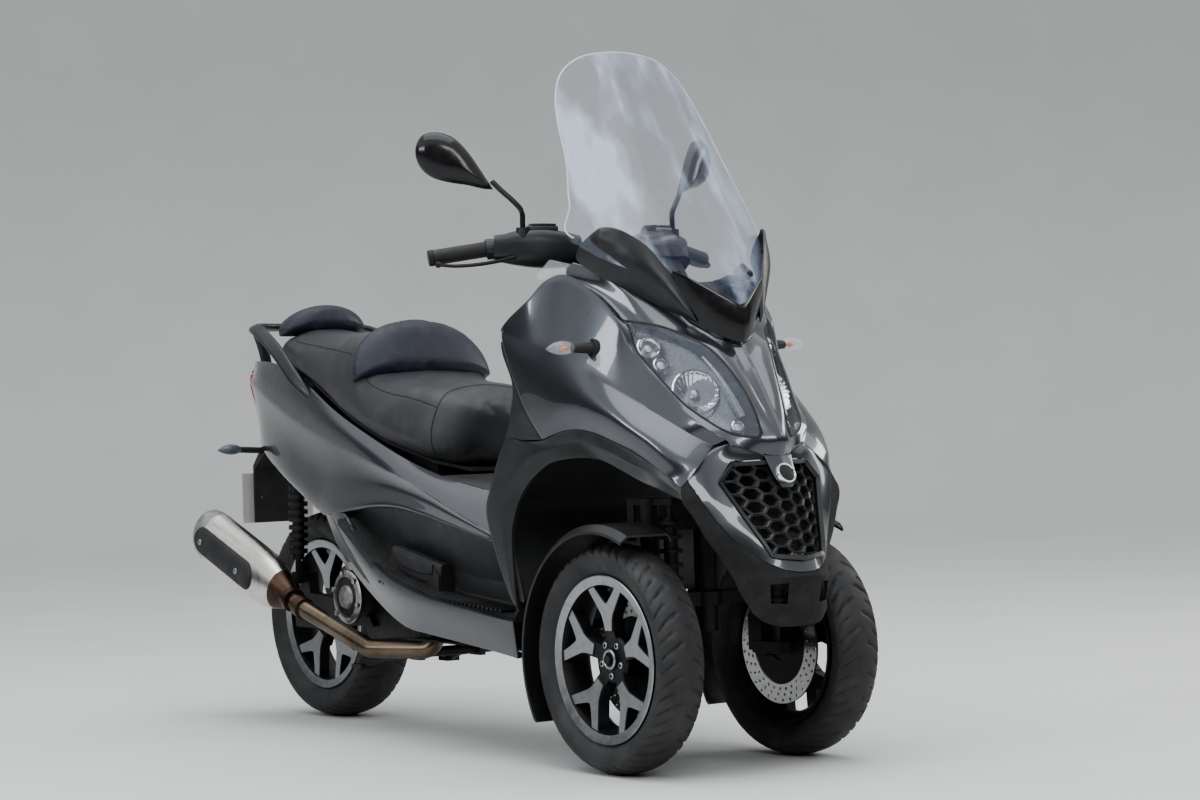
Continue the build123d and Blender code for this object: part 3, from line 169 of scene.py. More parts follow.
def mat_paint(name, dark, light, rough=0.24):
    """Gunmetal metallic paint: flake sparkle, faint dust, clear coat."""
    m = Mat(name)
    flake = m.node("ShaderNodeTexVoronoi")
    flake.inputs["Scale"].default_value = 1800
    m.link(m.coords(), flake.inputs["Vector"])
    flakes = m.range(flake.outputs["Distance"], 0.0, 0.8, 0.35, 1.0)
    cloud = m.noise(5.0, 2.0)
    base = m.mix(cloud, dark, light)
    col = m.mix(m.math("MULTIPLY", flakes, 0.35), base, tuple(min(1, c * 1.55) for c in light))
    dust = m.range(m.noise(26.0, 6.0, 0.65), 0.56, 0.9, 0.0, 0.05)
    m.to(m.mix(dust, col, (0.30, 0.29, 0.27)), "Base Color")
    m.to(m.range(m.noise(9.0, 5.0, 0.6), 0.3, 0.8, rough, rough + 0.04), "Roughness")
    m.set(Metallic=0.82, Coat_Weight=1.0, Coat_Roughness=0.03)
    m.bump(m.noise(700.0, 1.0), 0.008, 0.0003)
    return m.mat


def mat_plastic(name, color, rough=0.5, grain=650.0, bump=0.25, dust=0.18, dusty=(0.22, 0.21, 0.20)):
    """Moulded plastic with a fine grain and a little dust."""
    m = Mat(name)
    d = m.range(m.noise(18.0, 6.0, 0.6), 0.45, 0.85, 0.0, dust)
    shade = m.mix(m.noise(7.0, 2.0), tuple(c * 0.82 for c in color), tuple(c * 1.18 for c in color))
    m.to(m.mix(d, shade, dusty), "Base Color")
    m.to(m.range(m.noise(45.0, 4.0), 0.3, 0.7, rough - 0.06, rough + 0.08), "Roughness")
    m.bump(m.noise(grain, 2.0), bump, 0.0004)
    return m.mat


def mat_metal(name, dark, light, rough=0.3, stretch=None, scale=60.0, metallic=1.0, dirt=0.2, dirt_color=(0.10, 0.09, 0.08)):
    """Bare or brushed metal with stains."""
    m = Mat(name)
    fac = m.noise(scale, 4.0, 0.6, stretch)
    col = m.mix(m.range(fac, 0.3, 0.7, 0.0, 1.0), dark, light)
    stain = m.range(m.noise(9.0, 6.0, 0.65), 0.5, 0.85, 0.0, dirt)
    m.to(m.mix(stain, col, dirt_color), "Base Color")
    m.to(m.range(fac, 0.2, 0.8, rough, rough + 0.16), "Roughness")
    m.set(Metallic=metallic)
    m.bump(fac, 0.12, 0.0003)
    return m.mat


def mat_rubber(name, color, rough=0.75, dust=0.45, dusty=(0.26, 0.25, 0.23)):
    """Tyre rubber or soft grip with dust lying in patches."""
    m = Mat(name)
    d = m.range(m.noise(11.0, 7.0, 0.65), 0.42, 0.80, 0.02, dust)
    m.to(m.mix(d, color, dusty), "Base Color")
    m.to(m.range(m.noise(30.0, 4.0), 0.3, 0.7, rough - 0.08, rough + 0.1), "Roughness")
    m.bump(m.noise(420.0, 3.0), 0.3, 0.0005)
    return m.mat


def mat_leather(name, dark, light, rough=0.42, grain=300.0, bump=0.35):
    """Seat vinyl with a pebble grain and worn sheen."""
    m = Mat(name)
    v = m.node("ShaderNodeTexVoronoi", feature="DISTANCE_TO_EDGE")
    v.inputs["Scale"].default_value = grain
    m.link(m.coords(), v.inputs["Vector"])
    cell = m.range(v.outputs["Distance"], 0.0, 0.12, 0.0, 1.0)
    col = m.mix(m.noise(6.0, 4.0), dark, light)
    dust = m.range(m.noise(22.0, 6.0, 0.62), 0.5, 0.85, 0.0, 0.12)
    m.to(m.mix(dust, col, (0.30, 0.29, 0.28)), "Base Color")
    m.to(m.range(m.noise(12.0, 4.0), 0.3, 0.75, rough - 0.07, rough + 0.1), "Roughness")
    m.bump(cell, bump, 0.0004)
    m.set(Sheen_Weight=0.04)
    return m.mat


def mat_clear(name, tint=(0.93, 0.96, 0.98), alpha=0.16, rough=0.03, dirt=0.14, ior=1.49):
    """Clear moulding shown by its reflections and a thin veil of dirt."""
    m = Mat(name)
    m.set(Roughness=rough, IOR=ior, Specular_IOR_Level=0.8, Coat_Weight=0.6, Coat_Roughness=0.02)
    d = m.range(m.noise(30.0, 8.0, 0.7), 0.45, 0.9, 0.0, 1.0)
    m.to(m.mix(m.math("MULTIPLY", d, 0.4), tint, (0.72, 0.72, 0.70)), "Base Color")
    m.to(m.range(d, 0.0, 1.0, alpha, alpha + dirt), "Alpha")
    return m.mat


def mat_screen(name):
    """Tall clear screen: painted reflections of the sky as cool blue-white slanting streaks in its colour and alpha,
    fine dust and a polished face.
    """
    m = Mat(name)
    m.set(Roughness=0.03, IOR=1.49, Specular_IOR_Level=1.0, Coat_Weight=0.7, Coat_Roughness=0.02)
    # painted reflection: stretched noise lays slanting blue-white streaks of mirrored sky into the screen's colour
    warp = m.noise(3.0, 3.0, 0.6, stretch=(2.4, 1.0, 0.7))
    painted_reflection_streak = m.range(m.math("ADD", warp, m.math("MULTIPLY", m.noise(14.0, 6.0, 0.7, stretch=(2.0, 1.0, 0.6)), 0.22)), 0.54, 0.68, 0.0, 1.0)
    dust = m.range(m.noise(34.0, 8.0, 0.7), 0.50, 0.9, 0.0, 1.0)
    m.to(m.mix(painted_reflection_streak, (0.06, 0.10, 0.19), (0.50, 0.58, 0.72)), "Base Color")
    # alpha rises where the painted reflection streaks are bright; the dust below is real
    veil = m.range(painted_reflection_streak, 0.0, 1.0, 0.09, 0.40)
    m.to(m.math("ADD", veil, m.math("MULTIPLY", dust, 0.12)), "Alpha")
    return m.mat


def mat_chrome(name, color=(0.88, 0.89, 0.90), rough=0.06):
    m = Mat(name)
    m.set(Metallic=1.0)
    m.to(m.mix(m.noise(20.0, 3.0), tuple(c * 0.9 for c in color), color), "Base Color")
    m.to(m.range(m.noise(60.0, 4.0), 0.3, 0.8, rough, rough + 0.08), "Roughness")
    return m.mat


M = {
    "paint": mat_paint("paint", (0.048, 0.052, 0.059), (0.074, 0.079, 0.089), 0.25),
    "paint_dark": mat_paint("paint_dark", (0.034, 0.037, 0.042), (0.052, 0.056, 0.063), 0.31),
    "trim": mat_plastic("trim", (0.024, 0.025, 0.027), 0.46, dust=0.10, bump=0.15),
    "trim_satin": mat_plastic("trim_satin", (0.020, 0.021, 0.023), 0.34, dust=0.07, bump=0.08),
    "trim_matt": mat_plastic("trim_matt", (0.018, 0.018, 0.019), 0.62, dust=0.12),
    "gloss": mat_plastic("gloss", (0.010, 0.010, 0.011), 0.16, bump=0.03, dust=0.05),
    "mesh_grey": mat_plastic("mesh_grey", (0.040, 0.041, 0.043), 0.22, bump=0.03, dust=0.05),
    "under": mat_plastic("under", (0.010, 0.010, 0.010), 0.8, dust=0.1),
    "black_metal": mat_metal("black_metal", (0.014, 0.014, 0.015), (0.024, 0.024, 0.025), 0.42, metallic=0.4),
    "alloy": mat_metal("alloy", (0.30, 0.30, 0.30), (0.50, 0.50, 0.49), 0.38, dirt=0.75),
    "engine": mat_metal("engine", (0.045, 0.045, 0.045), (0.10, 0.10, 0.098), 0.45, dirt=0.35, dirt_color=(0.03, 0.029, 0.028)),
    "machined": mat_metal("machined", (0.30, 0.31, 0.32), (0.40, 0.41, 0.42), 0.26, dirt=0.04),
    "wheel_black": mat_metal("wheel_black", (0.012, 0.012, 0.013), (0.022, 0.022, 0.023), 0.34, metallic=0.5),
    "disc": mat_metal("disc", (0.40, 0.40, 0.40), (0.60, 0.60, 0.60), 0.26, scale=400.0, dirt=0.3, dirt_color=(0.22, 0.15, 0.10)),
    "steel": mat_metal("steel", (0.50, 0.49, 0.46), (0.72, 0.70, 0.66), 0.20, stretch=(60, 3, 3), scale=4.0, dirt=0.25, dirt_color=(0.35, 0.29, 0.20)),
    "pipe": mat_metal("pipe", (0.085, 0.060, 0.042), (0.26, 0.215, 0.165), 0.26, scale=9.0, dirt=0.6, dirt_color=(0.045, 0.030, 0.022)),
    "burnt": mat_metal("burnt", (0.050, 0.030, 0.022), (0.12, 0.080, 0.060), 0.34, scale=22.0, dirt=0.4, dirt_color=(0.02, 0.014, 0.011)),
    "chrome": mat_chrome("chrome"),
    "rubber": mat_rubber("rubber", (0.012, 0.012, 0.013), 0.48, 0.10),
    "tyre": mat_rubber("tyre", (0.018, 0.018, 0.019), 0.58, 0.24, (0.15, 0.145, 0.14)),
    "seat": mat_leather("seat", (0.024, 0.025, 0.028), (0.042, 0.043, 0.048), 0.40),
    "bolster": mat_leather("bolster", (0.009, 0.010, 0.022), (0.015, 0.018, 0.034), 0.42, 420.0, 0.15),
    "clear": mat_clear("clear", (0.55, 0.62, 0.74), 0.07, 0.02, 0.06),
    "lens": mat_clear("lens", (0.70, 0.72, 0.76), 0.22, 0.04, 0.10),
    "lamp_blue": mat_clear("lamp_blue", (0.16, 0.22, 0.36), 0.30, 0.03, 0.05),
    "screen": mat_screen("screen"),
    "lamp_grey": mat_chrome("lamp_grey", (0.20, 0.21, 0.23), 0.24),
    "thread": mat_plastic("thread", (0.10, 0.10, 0.11), 0.6, bump=0.1, dust=0.0),
    "smoke": mat_plastic("smoke", (0.10, 0.11, 0.13), 0.12, bump=0.0, dust=0.05),
    "screen_rim": mat_clear("screen_rim", (0.75, 0.82, 0.90), 0.55, 0.05, 0.1),
    "red": mat_plastic("red", (0.42, 0.012, 0.010), 0.10, bump=0.0, dust=0.05),
    "amber": mat_plastic("amber", (0.80, 0.20, 0.01), 0.2, bump=0.0, dust=0.0),
    "plate": mat_plastic("plate", (0.62, 0.62, 0.60), 0.35, bump=0.05, dust=0.3),
}

NODE_MATS = {
    "frame": "black_metal", "tilt_linkage": "black_metal", "nose_cowl": "paint", "headlamp_lenses": "clear",
    "headlamp_reflectors": "chrome", "front_panels": "paint", "arch_trims": "trim_satin", "grille_carrier": "paint_dark",
    "grille": "gloss", "chin": "trim_matt", "windscreen": "screen", "deflectors": "trim_satin", "leg_shield": "trim",
    "instruments": "gloss", "floor_tunnel": "trim", "footboards": "trim_matt", "sills": "paint", "belly_pan": "under",
    "rear_body": "paint", "storage_tub": "trim_matt", "tail_lamp": "red", "grab_rails": "trim_satin", "mudguard": "trim_matt",
    "number_plate": "plate", "indicator_stalks": "trim_matt", "indicator_lenses": "clear", "engine": "engine",
    "drive_case": "engine", "rear_arm": "black_metal", "rear_shocks": "black_metal", "exhaust_pipe": "pipe", "silencer": "steel",
    "silencer_shield": "trim_matt", "seat_base": "trim_matt", "seat_cushion": "seat", "seat_bolsters": "bolster",
    "handlebar": "trim_satin", "grips": "rubber", "control_covers": "trim_satin", "brake_levers": "black_metal",
    "mirrors": "gloss", "centre_stand": "black_metal", "tyre_right": "tyre", "tyre_left": "tyre", "tyre_rear": "tyre",
    "rim_right": "wheel_black", "rim_left": "wheel_black", "rim_rear": "wheel_black", "disc_right": "disc",
    "disc_left": "disc", "disc_rear": "disc", "knuckle_right": "black_metal", "knuckle_left": "black_metal",
    "damper_right": "black_metal", "damper_left": "black_metal", "fender_right": "trim_satin", "fender_left": "trim_satin",
}
for node_name, obj in NODES.items():
    for s in obj.material_slots:
        s.link = "OBJECT"
        s.material = M[NODE_MATS[node_name]]


# stage

def build_stage():
    """Pale floor and backdrop, soft studio light."""
    world = bpy.data.worlds.new("world")
    bpy.context.scene.world = world
    world.use_nodes = True
    nt = world.node_tree
    bg = nt.nodes["Background"]
    way = nt.nodes.new("ShaderNodeTexCoord")
    split = nt.nodes.new("ShaderNodeSeparateXYZ")
    ramp = nt.nodes.new("ShaderNodeValToRGB")
    shift = nt.nodes.new("ShaderNodeMapRange")
    for i, v in enumerate((-1.0, 1.0, 0.0, 1.0), 1):
        shift.inputs[i].default_value = v
    nt.links.new(way.outputs["Generated"], split.inputs[0])
    nt.links.new(split.outputs["Z"], shift.inputs[0])
    nt.links.new(shift.outputs[0], ramp.inputs["Fac"])
    nt.links.new(ramp.outputs["Color"], bg.inputs[0])
    stops = ((0.0, (0.06, 0.06, 0.06)), (0.50, (0.07, 0.07, 0.07)), (0.60, (0.12, 0.12, 0.125)), (0.655, (0.34, 0.36, 0.39)),
             (0.70, (0.92, 0.96, 1.0)), (1.0, (1.0, 1.0, 1.0)))
    el = ramp.color_ramp.elements
    while len(el) < len(stops):
        el.new(0.5)
    for e, (pos, col) in zip(el, stops):
        e.position = pos
        e.color = (*col, 1)
    bg.inputs[1].default_value = 0.95
    bm = bmesh.new()
    rows = []
    for y, z in [(-12, 0)] + [(9.5 + 3 * math.sin(a), 3 - 3 * math.cos(a)) for a in np.linspace(0, math.pi / 2, 16)] + [(12.5, 12)]:
        rows.append([bm.verts.new((x, y, z)) for x in (-18, 18)])
    for a, b in zip(rows, rows[1:]):
        bm.faces.new((a[0], a[1], b[1], b[0])).smooth = True
    bmesh.ops.rotate(bm, verts=bm.verts, cent=(0, 0, 0), matrix=Matrix.Rotation(math.radians(-30), 3, "Z"))
    me = bpy.data.meshes.new("floor")
    bm.to_mesh(me)
    bm.free()
    floor = bpy.data.objects.new("floor", me)
    bpy.context.collection.objects.link(floor)
    m = Mat("floor")
    m.to(m.mix(m.noise(2.0, 2.0), (0.60, 0.60, 0.595), (0.66, 0.66, 0.655)), "Base Color")
    m.set(Roughness=0.75)
    me.materials.append(m.mat)

    def area(name, loc, look, size, size_y, power, color=(1, 1, 1)):
        data = bpy.data.lights.new(name, "AREA")
        data.shape = "RECTANGLE"
        data.size, data.size_y, data.energy, data.color = size, size_y, power, color
        ob = bpy.data.objects.new(name, data)
        ob.location = loc
        ob.rotation_euler = (Vector(look) - Vector(loc)).to_track_quat("-Z", "Y").to_euler()
        bpy.context.collection.objects.link(ob)

    area("sky", (-0.6, -0.6, 4.8), (0, 0, 0.6), 5.0, 5.0, 150, (0.92, 0.96, 1.0))
    area("front", (-1.6, -5.6, 2.9), (0, -0.6, 0.8), 2.6, 0.7, 42, (1.0, 0.99, 0.97))
    area("side", (-5.2, -0.4, 2.6), (0, 0.2, 0.7), 3.4, 0.7, 60, (0.96, 0.98, 1.0))
    area("far", (4.6, -1.2, 2.6), (0, 0, 0.8), 3.0, 1.0, 45, (1.0, 0.98, 0.95))
    bpy.context.scene.view_settings.view_transform = "AgX"
    bpy.context.scene.view_settings.look = "AgX - Medium High Contrast"


build_stage()


# mesh tools

def V(x, y, z):
    """Metres in the frame from millimetres, y counted rearward from the front axle."""
    return Vector((x / 1000, (y + AXLE_Y) / 1000, z / 1000))


def spline(points, n):
    """Even samples along a smooth curve through points; a fourth value marks a corner."""
    pts = np.array([p[:3] for p in points], float)
    corners = sorted({0, len(points) - 1} | {i for i, p in enumerate(points) if len(p) > 3})
    dense = []
    for a, b in zip(corners, corners[1:]):
        seg = pts[a:b + 1]
        k = len(seg)
        d = np.r_[0, np.cumsum(np.maximum(np.linalg.norm(np.diff(seg, axis=0), axis=1), 1e-6) ** 0.5)]
        if k == 2:
            out = seg[0] + (seg[1] - seg[0]) * np.linspace(0, 1, 20)[:, None]
        else:
            tan = np.zeros_like(seg)
            tan[1:-1] = (seg[2:] - seg[:-2]) / (d[2:] - d[:-2])[:, None]
            tan[0] = 1.5 * (seg[1] - seg[0]) / (d[1] - d[0]) - 0.5 * tan[1]
            tan[-1] = 1.5 * (seg[-1] - seg[-2]) / (d[-1] - d[-2]) - 0.5 * tan[-2]
            parts = []
            for i in range(k - 1):
                h = d[i + 1] - d[i]
                t = np.linspace(0, 1, 24)[:, None]
                parts.append((2 * t ** 3 - 3 * t ** 2 + 1) * seg[i] + (t ** 3 - 2 * t ** 2 + t) * h * tan[i]
                             + (-2 * t ** 3 + 3 * t ** 2) * seg[i + 1] + (t ** 3 - t ** 2) * h * tan[i + 1])
            out = np.concatenate(parts)
        dense.append(out)
    dense = np.concatenate(dense)
    s = np.r_[0, np.cumsum(np.linalg.norm(np.diff(dense, axis=0), axis=1))]
    want = np.linspace(0, s[-1], n)
    return np.stack([np.interp(want, s, dense[:, i]) for i in range(3)], 1)


def skin(rows, n=48, m=8, crease=()):
    """Grid of points through rows of points, smooth across them except at crease rows."""
    sampled = [spline(r, n) if not isinstance(r, np.ndarray) else r for r in rows]
    count = (len(rows) - 1) * m + 1
    out = np.zeros((count, n, 3))
    for j in range(n):
        col = [tuple(r[j]) + ((1,) if i in crease else ()) for i, r in enumerate(sampled)]
        pts = np.array([c[:3] for c in col])
        marks = [0] + list(crease) + [len(rows) - 1]
        for a, b in zip(marks, marks[1:]):
            seg = pts[a:b + 1]
            k = len(seg)
            for i in range(k - 1):
                p0 = seg[i - 1] if i > 0 else None
                p3 = seg[i + 2] if i + 2 < k else None
                p1, p2 = seg[i], seg[i + 1]
                m1 = (p2 - p0) / 2 if p0 is not None else (p2 - p1) * 1.0
                m2 = (p3 - p1) / 2 if p3 is not None else (p2 - p1) * 1.0
                if p0 is None and p3 is not None:
                    m1 = 1.5 * (p2 - p1) - 0.5 * m2
                if p3 is None and p0 is not None:
                    m2 = 1.5 * (p2 - p1) - 0.5 * m1
                t = np.linspace(0, 1, m + 1)[:, None]
                at = (a + i) * m
                out[at:at + m + 1, j] = ((2 * t ** 3 - 3 * t ** 2 + 1) * p1 + (t ** 3 - 2 * t ** 2 + t) * m1
                                        + (-2 * t ** 3 + 3 * t ** 2) * p2 + (t ** 3 - t ** 2) * m2)
    return out


def sharpen(bm, angle=32.0):
    lim = math.radians(angle)
    for f in bm.faces:
        f.smooth = True
    for e in bm.edges:
        if len(e.link_faces) == 2 and e.calc_face_angle(0.0) > lim:
            e.smooth = False


def new_object(name, bm, mats, body=None, node=None, angle=32.0):
    """Object from a bmesh in metres, riding on a body and standing for CAD nodes."""
    sharpen(bm, angle)
    me = bpy.data.meshes.new(name)
    bm.to_mesh(me)
    bm.free()
    ob = bpy.data.objects.new(name, me)
    bpy.context.collection.objects.link(ob)
    for m in ([mats] if isinstance(mats, str) else mats):
        me.materials.append(M[m])
    if body:
        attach(ob, body)
    for n in ([node] if isinstance(node, str) else node or []):
        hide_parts(n)
    return ob


def grid_faces(bm, grid, mat=0, closed_u=False, closed_v=False, flip=False):
    """Quads of a grid of points given in table millimetres."""
    r, c = grid.shape[:2]
    vs = [[bm.verts.new(V(*grid[i, j])) for j in range(c)] for i in range(r)]
    for i in range(r if closed_u else r - 1):
        for j in range(c if closed_v else c - 1):
            q = [vs[i][j], vs[(i + 1) % r][j], vs[(i + 1) % r][(j + 1) % c], vs[i][(j + 1) % c]]
            q = [v for k, v in enumerate(q) if v.co != q[k - 1].co]
            if len(q) > 2:
                f = bm.faces.new(q[::-1] if flip else q)
                f.material_index = mat
    return vs


def apply_mods(ob):
    dep = bpy.context.evaluated_depsgraph_get()
    me = bpy.data.meshes.new_from_object(ob.evaluated_get(dep))
    old = ob.data
    ob.modifiers.clear()
    ob.data = me
    bpy.data.meshes.remove(old)


def temp_object(name, bm):
    me = bpy.data.meshes.new(name)
    bm.to_mesh(me)
    bm.free()
    ob = bpy.data.objects.new(name, me)
    bpy.context.collection.objects.link(ob)
    return ob


def shell(grids, thick=3.0, ref=(0, 150, 650), mirror=True):
    """Closed thin solid from grids of points, its outer face turned away from a reference point."""
    bm = bmesh.new()
    for g in grids:
        grid_faces(bm, g)
    bmesh.ops.remove_doubles(bm, verts=bm.verts, dist=0.00025)
    bmesh.ops.recalc_face_normals(bm, faces=bm.faces)
    centre = V(*ref)
    turn = sum(f.normal.dot(f.calc_center_median() - Vector((0, centre.y, centre.z))) * f.calc_area() for f in bm.faces)
    if turn < 0:
        bmesh.ops.reverse_faces(bm, faces=bm.faces)
    if mirror:
        both = bmesh.ops.duplicate(bm, geom=bm.verts[:] + bm.edges[:] + bm.faces[:])["geom"]
        vs = [e for e in both if isinstance(e, bmesh.types.BMVert)]
        fs = [e for e in both if isinstance(e, bmesh.types.BMFace)]
        for v in vs:
            v.co.x = -v.co.x
        bmesh.ops.reverse_faces(bm, faces=fs)
        bmesh.ops.remove_doubles(bm, verts=bm.verts, dist=0.00025)
    ob = temp_object("shell", bm)
    if thick:
        mod = ob.modifiers.new("thick", "SOLIDIFY")
        mod.thickness = thick / 1000
        mod.offset = -1
        mod.use_even_offset = True
        mod.thickness_clamp = 1.2
        apply_mods(ob)
    return ob


def prism_y(outline, y0, y1):
    """Cutter from an (x, z) outline between two y."""
    bm = bmesh.new()
    a = [bm.verts.new(V(x, y0, z)) for x, z in outline]
    b = [bm.verts.new(V(x, y1, z)) for x, z in outline]
    bm.faces.new(a)
    bm.faces.new(b[::-1])
    for i in range(len(a)):
        j = (i + 1) % len(a)
        bm.faces.new((a[j], a[i], b[i], b[j]))
    bmesh.ops.recalc_face_normals(bm, faces=bm.faces)
    return temp_object("cutter", bm)


def cut(ob, cutter, op="DIFFERENCE", keep=False):
    mod = ob.modifiers.new("cut", "BOOLEAN")
    mod.operation = op
    mod.solver = "EXACT"
    mod.object = cutter
    apply_mods(ob)
    if not keep:
        bpy.data.objects.remove(cutter)
    return ob


def finish_piece(ob, name, mats, body, node=None, bevel=0.8, angle=32.0, segments=2):
    """Bevels a temporary object's edges and registers it as a piece."""
    if bevel:
        mod = ob.modifiers.new("bevel", "BEVEL")
        mod.width = bevel / 1000
        mod.segments = segments
        mod.limit_method = "ANGLE"
        mod.angle_limit = math.radians(45)
        mod.use_clamp_overlap = True
        apply_mods(ob)
    bm = bmesh.new()
    bm.from_mesh(ob.data)
    bpy.data.objects.remove(ob)
    return new_object(name, bm, mats, body, node, angle)


def flip_x(points):
    return [(-p[0], *p[1:]) for p in points]


def outline2(points, n=10):
    """Smooth closed (x, z) outline; a third value marks a corner."""
    pts = [(p[0], 0, p[1]) + ((1,) if len(p) > 2 else ()) for p in points]
    pts.append(pts[0])
    out = spline(pts, len(points) * n)
    return [(p[0], p[2]) for p in out[:-1]]


# front panels

SEAM_TOP = [(103, -218, 695), (135, -190, 721), (157, -131, 768), (181, -73, 828), (196, -22, 889), (208, 9, 955), (218, 72, 1010), (228, 160, 1054)]
CREASE = [(119, -194, 683), (160, -153, 716), (189, -101, 751), (229, -24, 800), (249, 52, 847), (261, 114, 876), (272, 180, 899), (282, 292, 928), (284, 333, 937)]
BULGE = [(164, -204, 643), (205, -172, 664), (236, -110, 708), (256, -30, 748), (269, 54, 775), (279, 150, 800), (287, 235, 855), (288, 300, 895), (286, 330, 925)]
TRIM_TOP = [(205, -195, 601), (217, -140, 636), (227, -84, 665), (240, -20, 693), (249, 40, 714), (256, 98, 723), (264, 150, 719), (274, 203, 703, 1), (285, 245, 762), (288, 280, 822), (288, 314, 884), (286, 328, 918)]
LAMP = [(34, 707), (40, 696, 1), (97, 711), (138, 755), (164, 813), (188, 888), (192, 951, 1), (130, 931), (85, 893), (60, 847), (42, 779)]


GARNISH = [(0, 889), (-46, 906), (-84, 940), (-104, 975), (-112, 1030), (112, 1030), (104, 975), (84, 940), (46, 906)]


def front_panels():
    top_edge = [(238, 226, 1045), (264, 256, 1006), (280, 308, 968), (286, 334, 944)]
    upper = skin([SEAM_TOP + top_edge, CREASE], 90, 10)
    lower = skin([CREASE, BULGE, TRIM_TOP], 90, 12)
    ob = shell([upper, lower], 3.0)
    finish_piece(ob, "front_panel_skins", "paint", "chassis", "front_panels", 0.9)


def trims():
    outer = [(205, -195.6, 600), (217, -140.6, 635), (227, -84.6, 664), (240, -20.3, 692), (249, 40, 713), (256, 98, 722),
             (264, 150, 718), (274.5, 204, 701), (285, 262, 700), (288, 326, 702), (288, 392, 596), (287, 411, 543), (287, 375, 450),
             (286, 329, 366), (284, 305, 338)]
    ridge = [(209, -199, 590), (222, -132, 624), (235, -60, 650), (246, 0, 674), (256, 60, 690), (263, 100, 694), (272, 160, 688),
             (281, 222, 672), (286, 270, 650), (288, 310, 610), (288.5, 338, 560), (289, 348, 510), (289, 336, 450), (288, 318, 380), (286, 304, 338)]
    lip = [(210, -203, 575), (222, -150, 594), (236, -100, 614), (248, -40, 640), (256, 4, 657), (260, 50, 663), (263, 91, 664),
           (268, 140, 660), (272, 181, 652), (278, 230, 626), (282, 271, 592), (286, 298, 545), (287, 312, 498), (287, 308, 400), (285, 302, 338)]
    inner = [(p[0] - 9, p[1] + (4 if i < 5 else 0), p[2] - (1 if i < 9 else 0)) for i, p in enumerate(lip)]
    band = skin([outer, ridge, lip, inner], 110, 7, crease=(1, 2))
    seam = [(274.5, 203.6, 703.6), (285.5, 245.6, 762), (288.3, 280.6, 822), (288.3, 314.6, 884), (286, 328.6, 917)]
    rear = [(288, 326.4, 702.6), (289, 300, 762), (289, 290, 822), (288.6, 325, 890), (286, 334, 918)]
    up = skin([seam, rear], 40, 6)
    ob = shell([band, up], 3.5)
    finish_piece(ob, "arch_trim_skins", "trim_satin", "chassis", "arch_trims", 0.8)


def cowl_grid(n=90, m=10):
    centre = [(0, -60, 1030), (0, -110, 950), (0, -146, 891), (0, -178, 845), (0, -208, 800), (0, -240, 752), (0, -262, 718), (0, -273, 690), (0, -262, 654)]
    ridge = [(22, -52, 1028), (20, -102, 950), (17, -137, 891), (15, -172, 845), (14, -204, 800), (12, -237, 752), (11, -260, 718), (11, -271, 690), (13, -260, 655)]
    inner = [(150, -2, 1014), (128, -66, 932), (86, -132, 893), (62, -176, 847), (48, -212, 795), (41, -234, 752), (36, -249, 715), (34, -258, 690), (34, -252, 660)]
    mid = [(200, 60, 1052), (168, -32, 925), (140, -88, 865), (112, -142, 815), (94, -184, 765), (82, -210, 730), (74, -226, 706), (70, -233, 690), (68, -236, 672)]
    outer = [(231, 132, 1078)] + [(p[0] - 0.6, p[1], p[2]) for p in reversed(SEAM_TOP)] + [(98, -225, 683)]
    return skin([centre, ridge, inner, mid, outer], n, m, crease=(1,))


def cowl():
    grid = cowl_grid()
    ob = shell([grid], 3.2)
    hole = outline2(LAMP)
    for s in (1, -1):
        cut(ob, prism_y([(s * x, z) for x, z in hole], -400, 120))
    cut(ob, prism_y(GARNISH, -400, 120))
    finish_piece(ob, "nose_cowl_skin", "paint", "chassis", "nose_cowl", 0.7)
    vee = shell([cowl_grid()], 2.8)
    cut(vee, prism_y([(x * 0.975, 980 + (z - 980) * 0.985) for x, z in GARNISH], -400, 120), "INTERSECT")
    finish_piece(vee, "vee_garnish_low", "gloss", "chassis", None, 0.5)
    lens = shell([cowl_grid()], 2.6)
    small = [(112 + (x - 112) * 0.955, 822 + (z - 822) * 0.968) for x, z in hole]
    keep = prism_y(small, -400, 120)
    other = prism_y([(-x, z) for x, z in small], -400, 120)
    both = lens.copy()
    both.data = lens.data.copy()
    bpy.context.collection.objects.link(both)
    cut(lens, keep, "INTERSECT")
    cut(both, other, "INTERSECT")
    bm = bmesh.new()
    bm.from_mesh(lens.data)
    bm.from_mesh(both.data)
    bpy.data.objects.remove(lens)
    bpy.data.objects.remove(both)
    new_object("headlamp_lens_skins", bm, "clear", "chassis", "headlamp_lenses", 40)


def carrier_rows():
    c = [(0, -256, 650), (0, -263, 632), (0, -279, 596), (0, -300, 545), (0, -318, 490), (0, -334, 440), (0, -345, 412)]
    a = [(40, -250, 664), (50, -249, 640), (62, -259, 600), (52, -291, 540), (44, -311, 485), (38, -330, 437), (36, -342, 412)]
    b = [(92, -226, 684), (101, -221, 655), (132, -224, 607), (106, -262, 535), (80, -298, 478), (68, -316, 436), (62, -330, 410)]
    s = [(108, -206, 684), (134, -204, 660), (165, -213, 608), (140, -244, 530), (112, -274, 465), (97, -292, 430), (88, -306, 409)]
    e = [(118.5, -192, 682), (164, -204, 642), (204, -196, 600), (209, -203, 573), (190, -215, 538), (170, -226, 496), (149, -236, 464), (134, -243, 437), (121, -256, 408)]
    return c, a, b, s, e


